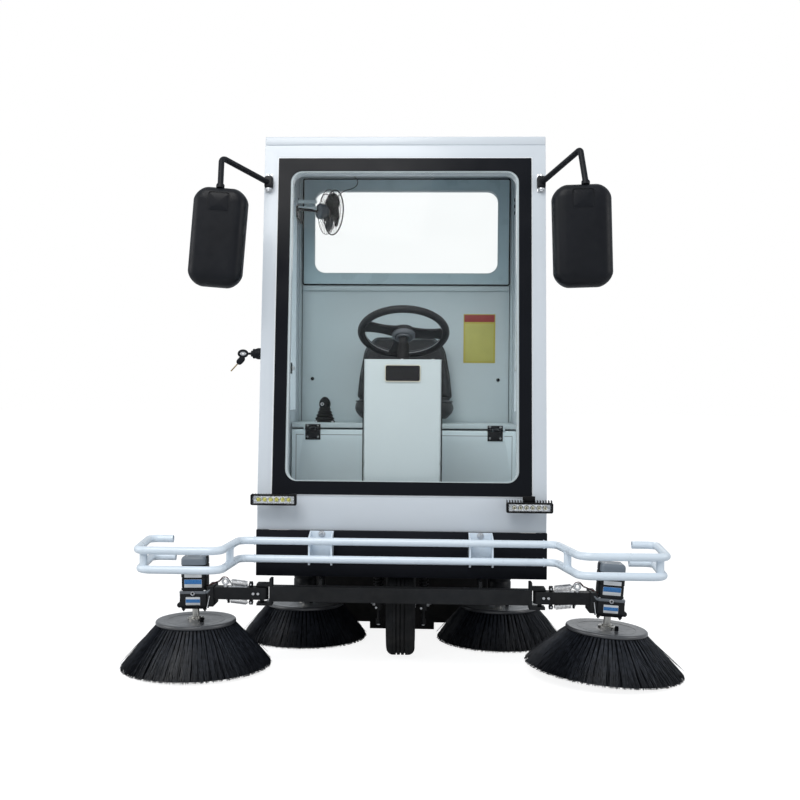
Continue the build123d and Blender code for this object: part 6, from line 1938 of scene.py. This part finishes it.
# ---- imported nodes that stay
class SWEEPER_OT_frame(bpy.types.Operator):
    """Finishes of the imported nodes, and rounded copies of the sheet metal"""
    bl_idname = "sweeper.frame"
    bl_label = "Frame and panels"

    # node, new name, edge radius, finish, body, slot
    PANELS = (
        ("cab_shell", "cab_panels", 0.004, "white_paint", "machine", "white_body"),
        ("roof", "cab_roof_panel", 0.004, "white_paint", "machine", "white_body"),
        ("cab_rear_wall", "cab_back_panel", 0.002, "inner_paint", "machine", "white_body"),
        ("door_left", "cab_door_left", 0.003, "white_paint", "left_door", "white_body"),
        ("door_right", "cab_door_right", 0.003, "white_paint", "right_door", "white_body"),
        ("rear_body", "rear_shell", 0.004, "white_paint", "machine", "white_body"),
        ("rear_door", "rear_door_panel", 0.0035, "white_paint", "tailgate", "white_body"),
        ("top_cover", "rear_cover_panel", 0.0035, "white_paint", "cover", "white_body"),
        ("seat_box", "battery_box", 0.002, "box_paint", "machine", "white_body"),
        ("seat_box_lid", "battery_box_lid", 0.002, "inner_paint", "seat_lid", "white_body"),
        ("steering_column", "column_cover", 0.002, "column_paint", "machine", "white_body"),
        ("front_skirt", "skirt_panel", 0.0015, "skirt_black", "machine", "black_frame"),
        ("front_crossbeam", "crossbeam", 0.002, "black_steel", "machine", "black_frame"),
        ("chassis_frame", "chassis_rails", 0.002, "black_steel", "machine", "black_frame"),
        ("rear_axle", "axle_beam", 0.002, "black_steel", "machine", "black_frame"),
        ("roller_housing", "roller_hood", 0.0015, "black_steel", "machine", "black_frame"),
        ("seat_base", "seat_runners", 0.0012, "black_steel", "seat_lid", "black_frame"),
        ("hopper", "dirt_hopper", 0.0015, "hopper_steel", "machine", "hopper_metal"),
    )
    # finish of each node that stays as it is packed
    KEPT = {"cab_glass": "window_glass", "door_left_glass": "door_glass", "door_right_glass": "door_glass",
        "cab_floor": "floor_mat", "battery_pack": "battery_grey", "badge_plate": "badge_black",
        "lamp_lenses": "lens_glass"}

    def execute(self, context):
        for node, name, width, material, body, slot in self.PANELS:
            rounded_copy(node, name, width, material, body)
        for node, material in self.KEPT.items():
            mesh = frame["nodes"][node].data
            mesh.materials.clear()
            mesh.materials.append(finish(material))
        return {"FINISHED"}


# ---- add-on
class SWEEPER_PT_panel(bpy.types.Panel):
    """Lists the steps that build the sweeper's finished pieces"""
    bl_idname = "SWEEPER_PT_panel"
    bl_label = "Floor sweeper"
    bl_space_type = "VIEW_3D"
    bl_region_type = "UI"
    bl_category = "Sweeper"

    def draw(self, context):
        for operator in OPERATORS:
            self.layout.operator(operator.bl_idname)
        for group in GROUPS:
            settings = getattr(context.scene, group)
            box = self.layout.box()
            box.label(text=group.replace("_", " "))
            for name in settings.__annotations__:
                box.prop(settings, name)


GROUPS = {"sweeper_paint": PaintSettings, "sweeper_stage": StageSettings, "sweeper_brush": BrushSettings,
    "sweeper_bumper": BumperSettings, "sweeper_mirror": MirrorSettings, "sweeper_steering": SteeringSettings,
    "sweeper_seat": SeatSettings, "sweeper_fan": FanSettings, "sweeper_lamp": LampSettings}
OPERATORS = (SWEEPER_OT_stage, SWEEPER_OT_lead, SWEEPER_OT_frame, SWEEPER_OT_brushes, SWEEPER_OT_drives,
    SWEEPER_OT_bumper, SWEEPER_OT_wheels, SWEEPER_OT_mirrors, SWEEPER_OT_steering, SWEEPER_OT_seat,
    SWEEPER_OT_fan, SWEEPER_OT_windows, SWEEPER_OT_trim, SWEEPER_OT_lamps, SWEEPER_OT_rear)
CLASSES = (*GROUPS.values(), *OPERATORS, SWEEPER_PT_panel)


def register():
    """Makes the classes known, and gives each scene its settings."""
    for cls in CLASSES:
        bpy.utils.register_class(cls)
    for name, group in GROUPS.items():
        setattr(bpy.types.Scene, name, PointerProperty(type=group))


def unregister():
    """Takes the settings and the classes away."""
    for name in GROUPS:
        delattr(bpy.types.Scene, name)
    for cls in reversed(CLASSES):
        bpy.utils.unregister_class(cls)


def main():
    """Runs every step in order."""
    register()
    for operator in OPERATORS:
        group, name = operator.bl_idname.split(".")
        getattr(getattr(bpy.ops, group), name)()


if __name__ == "__main__":
    main()
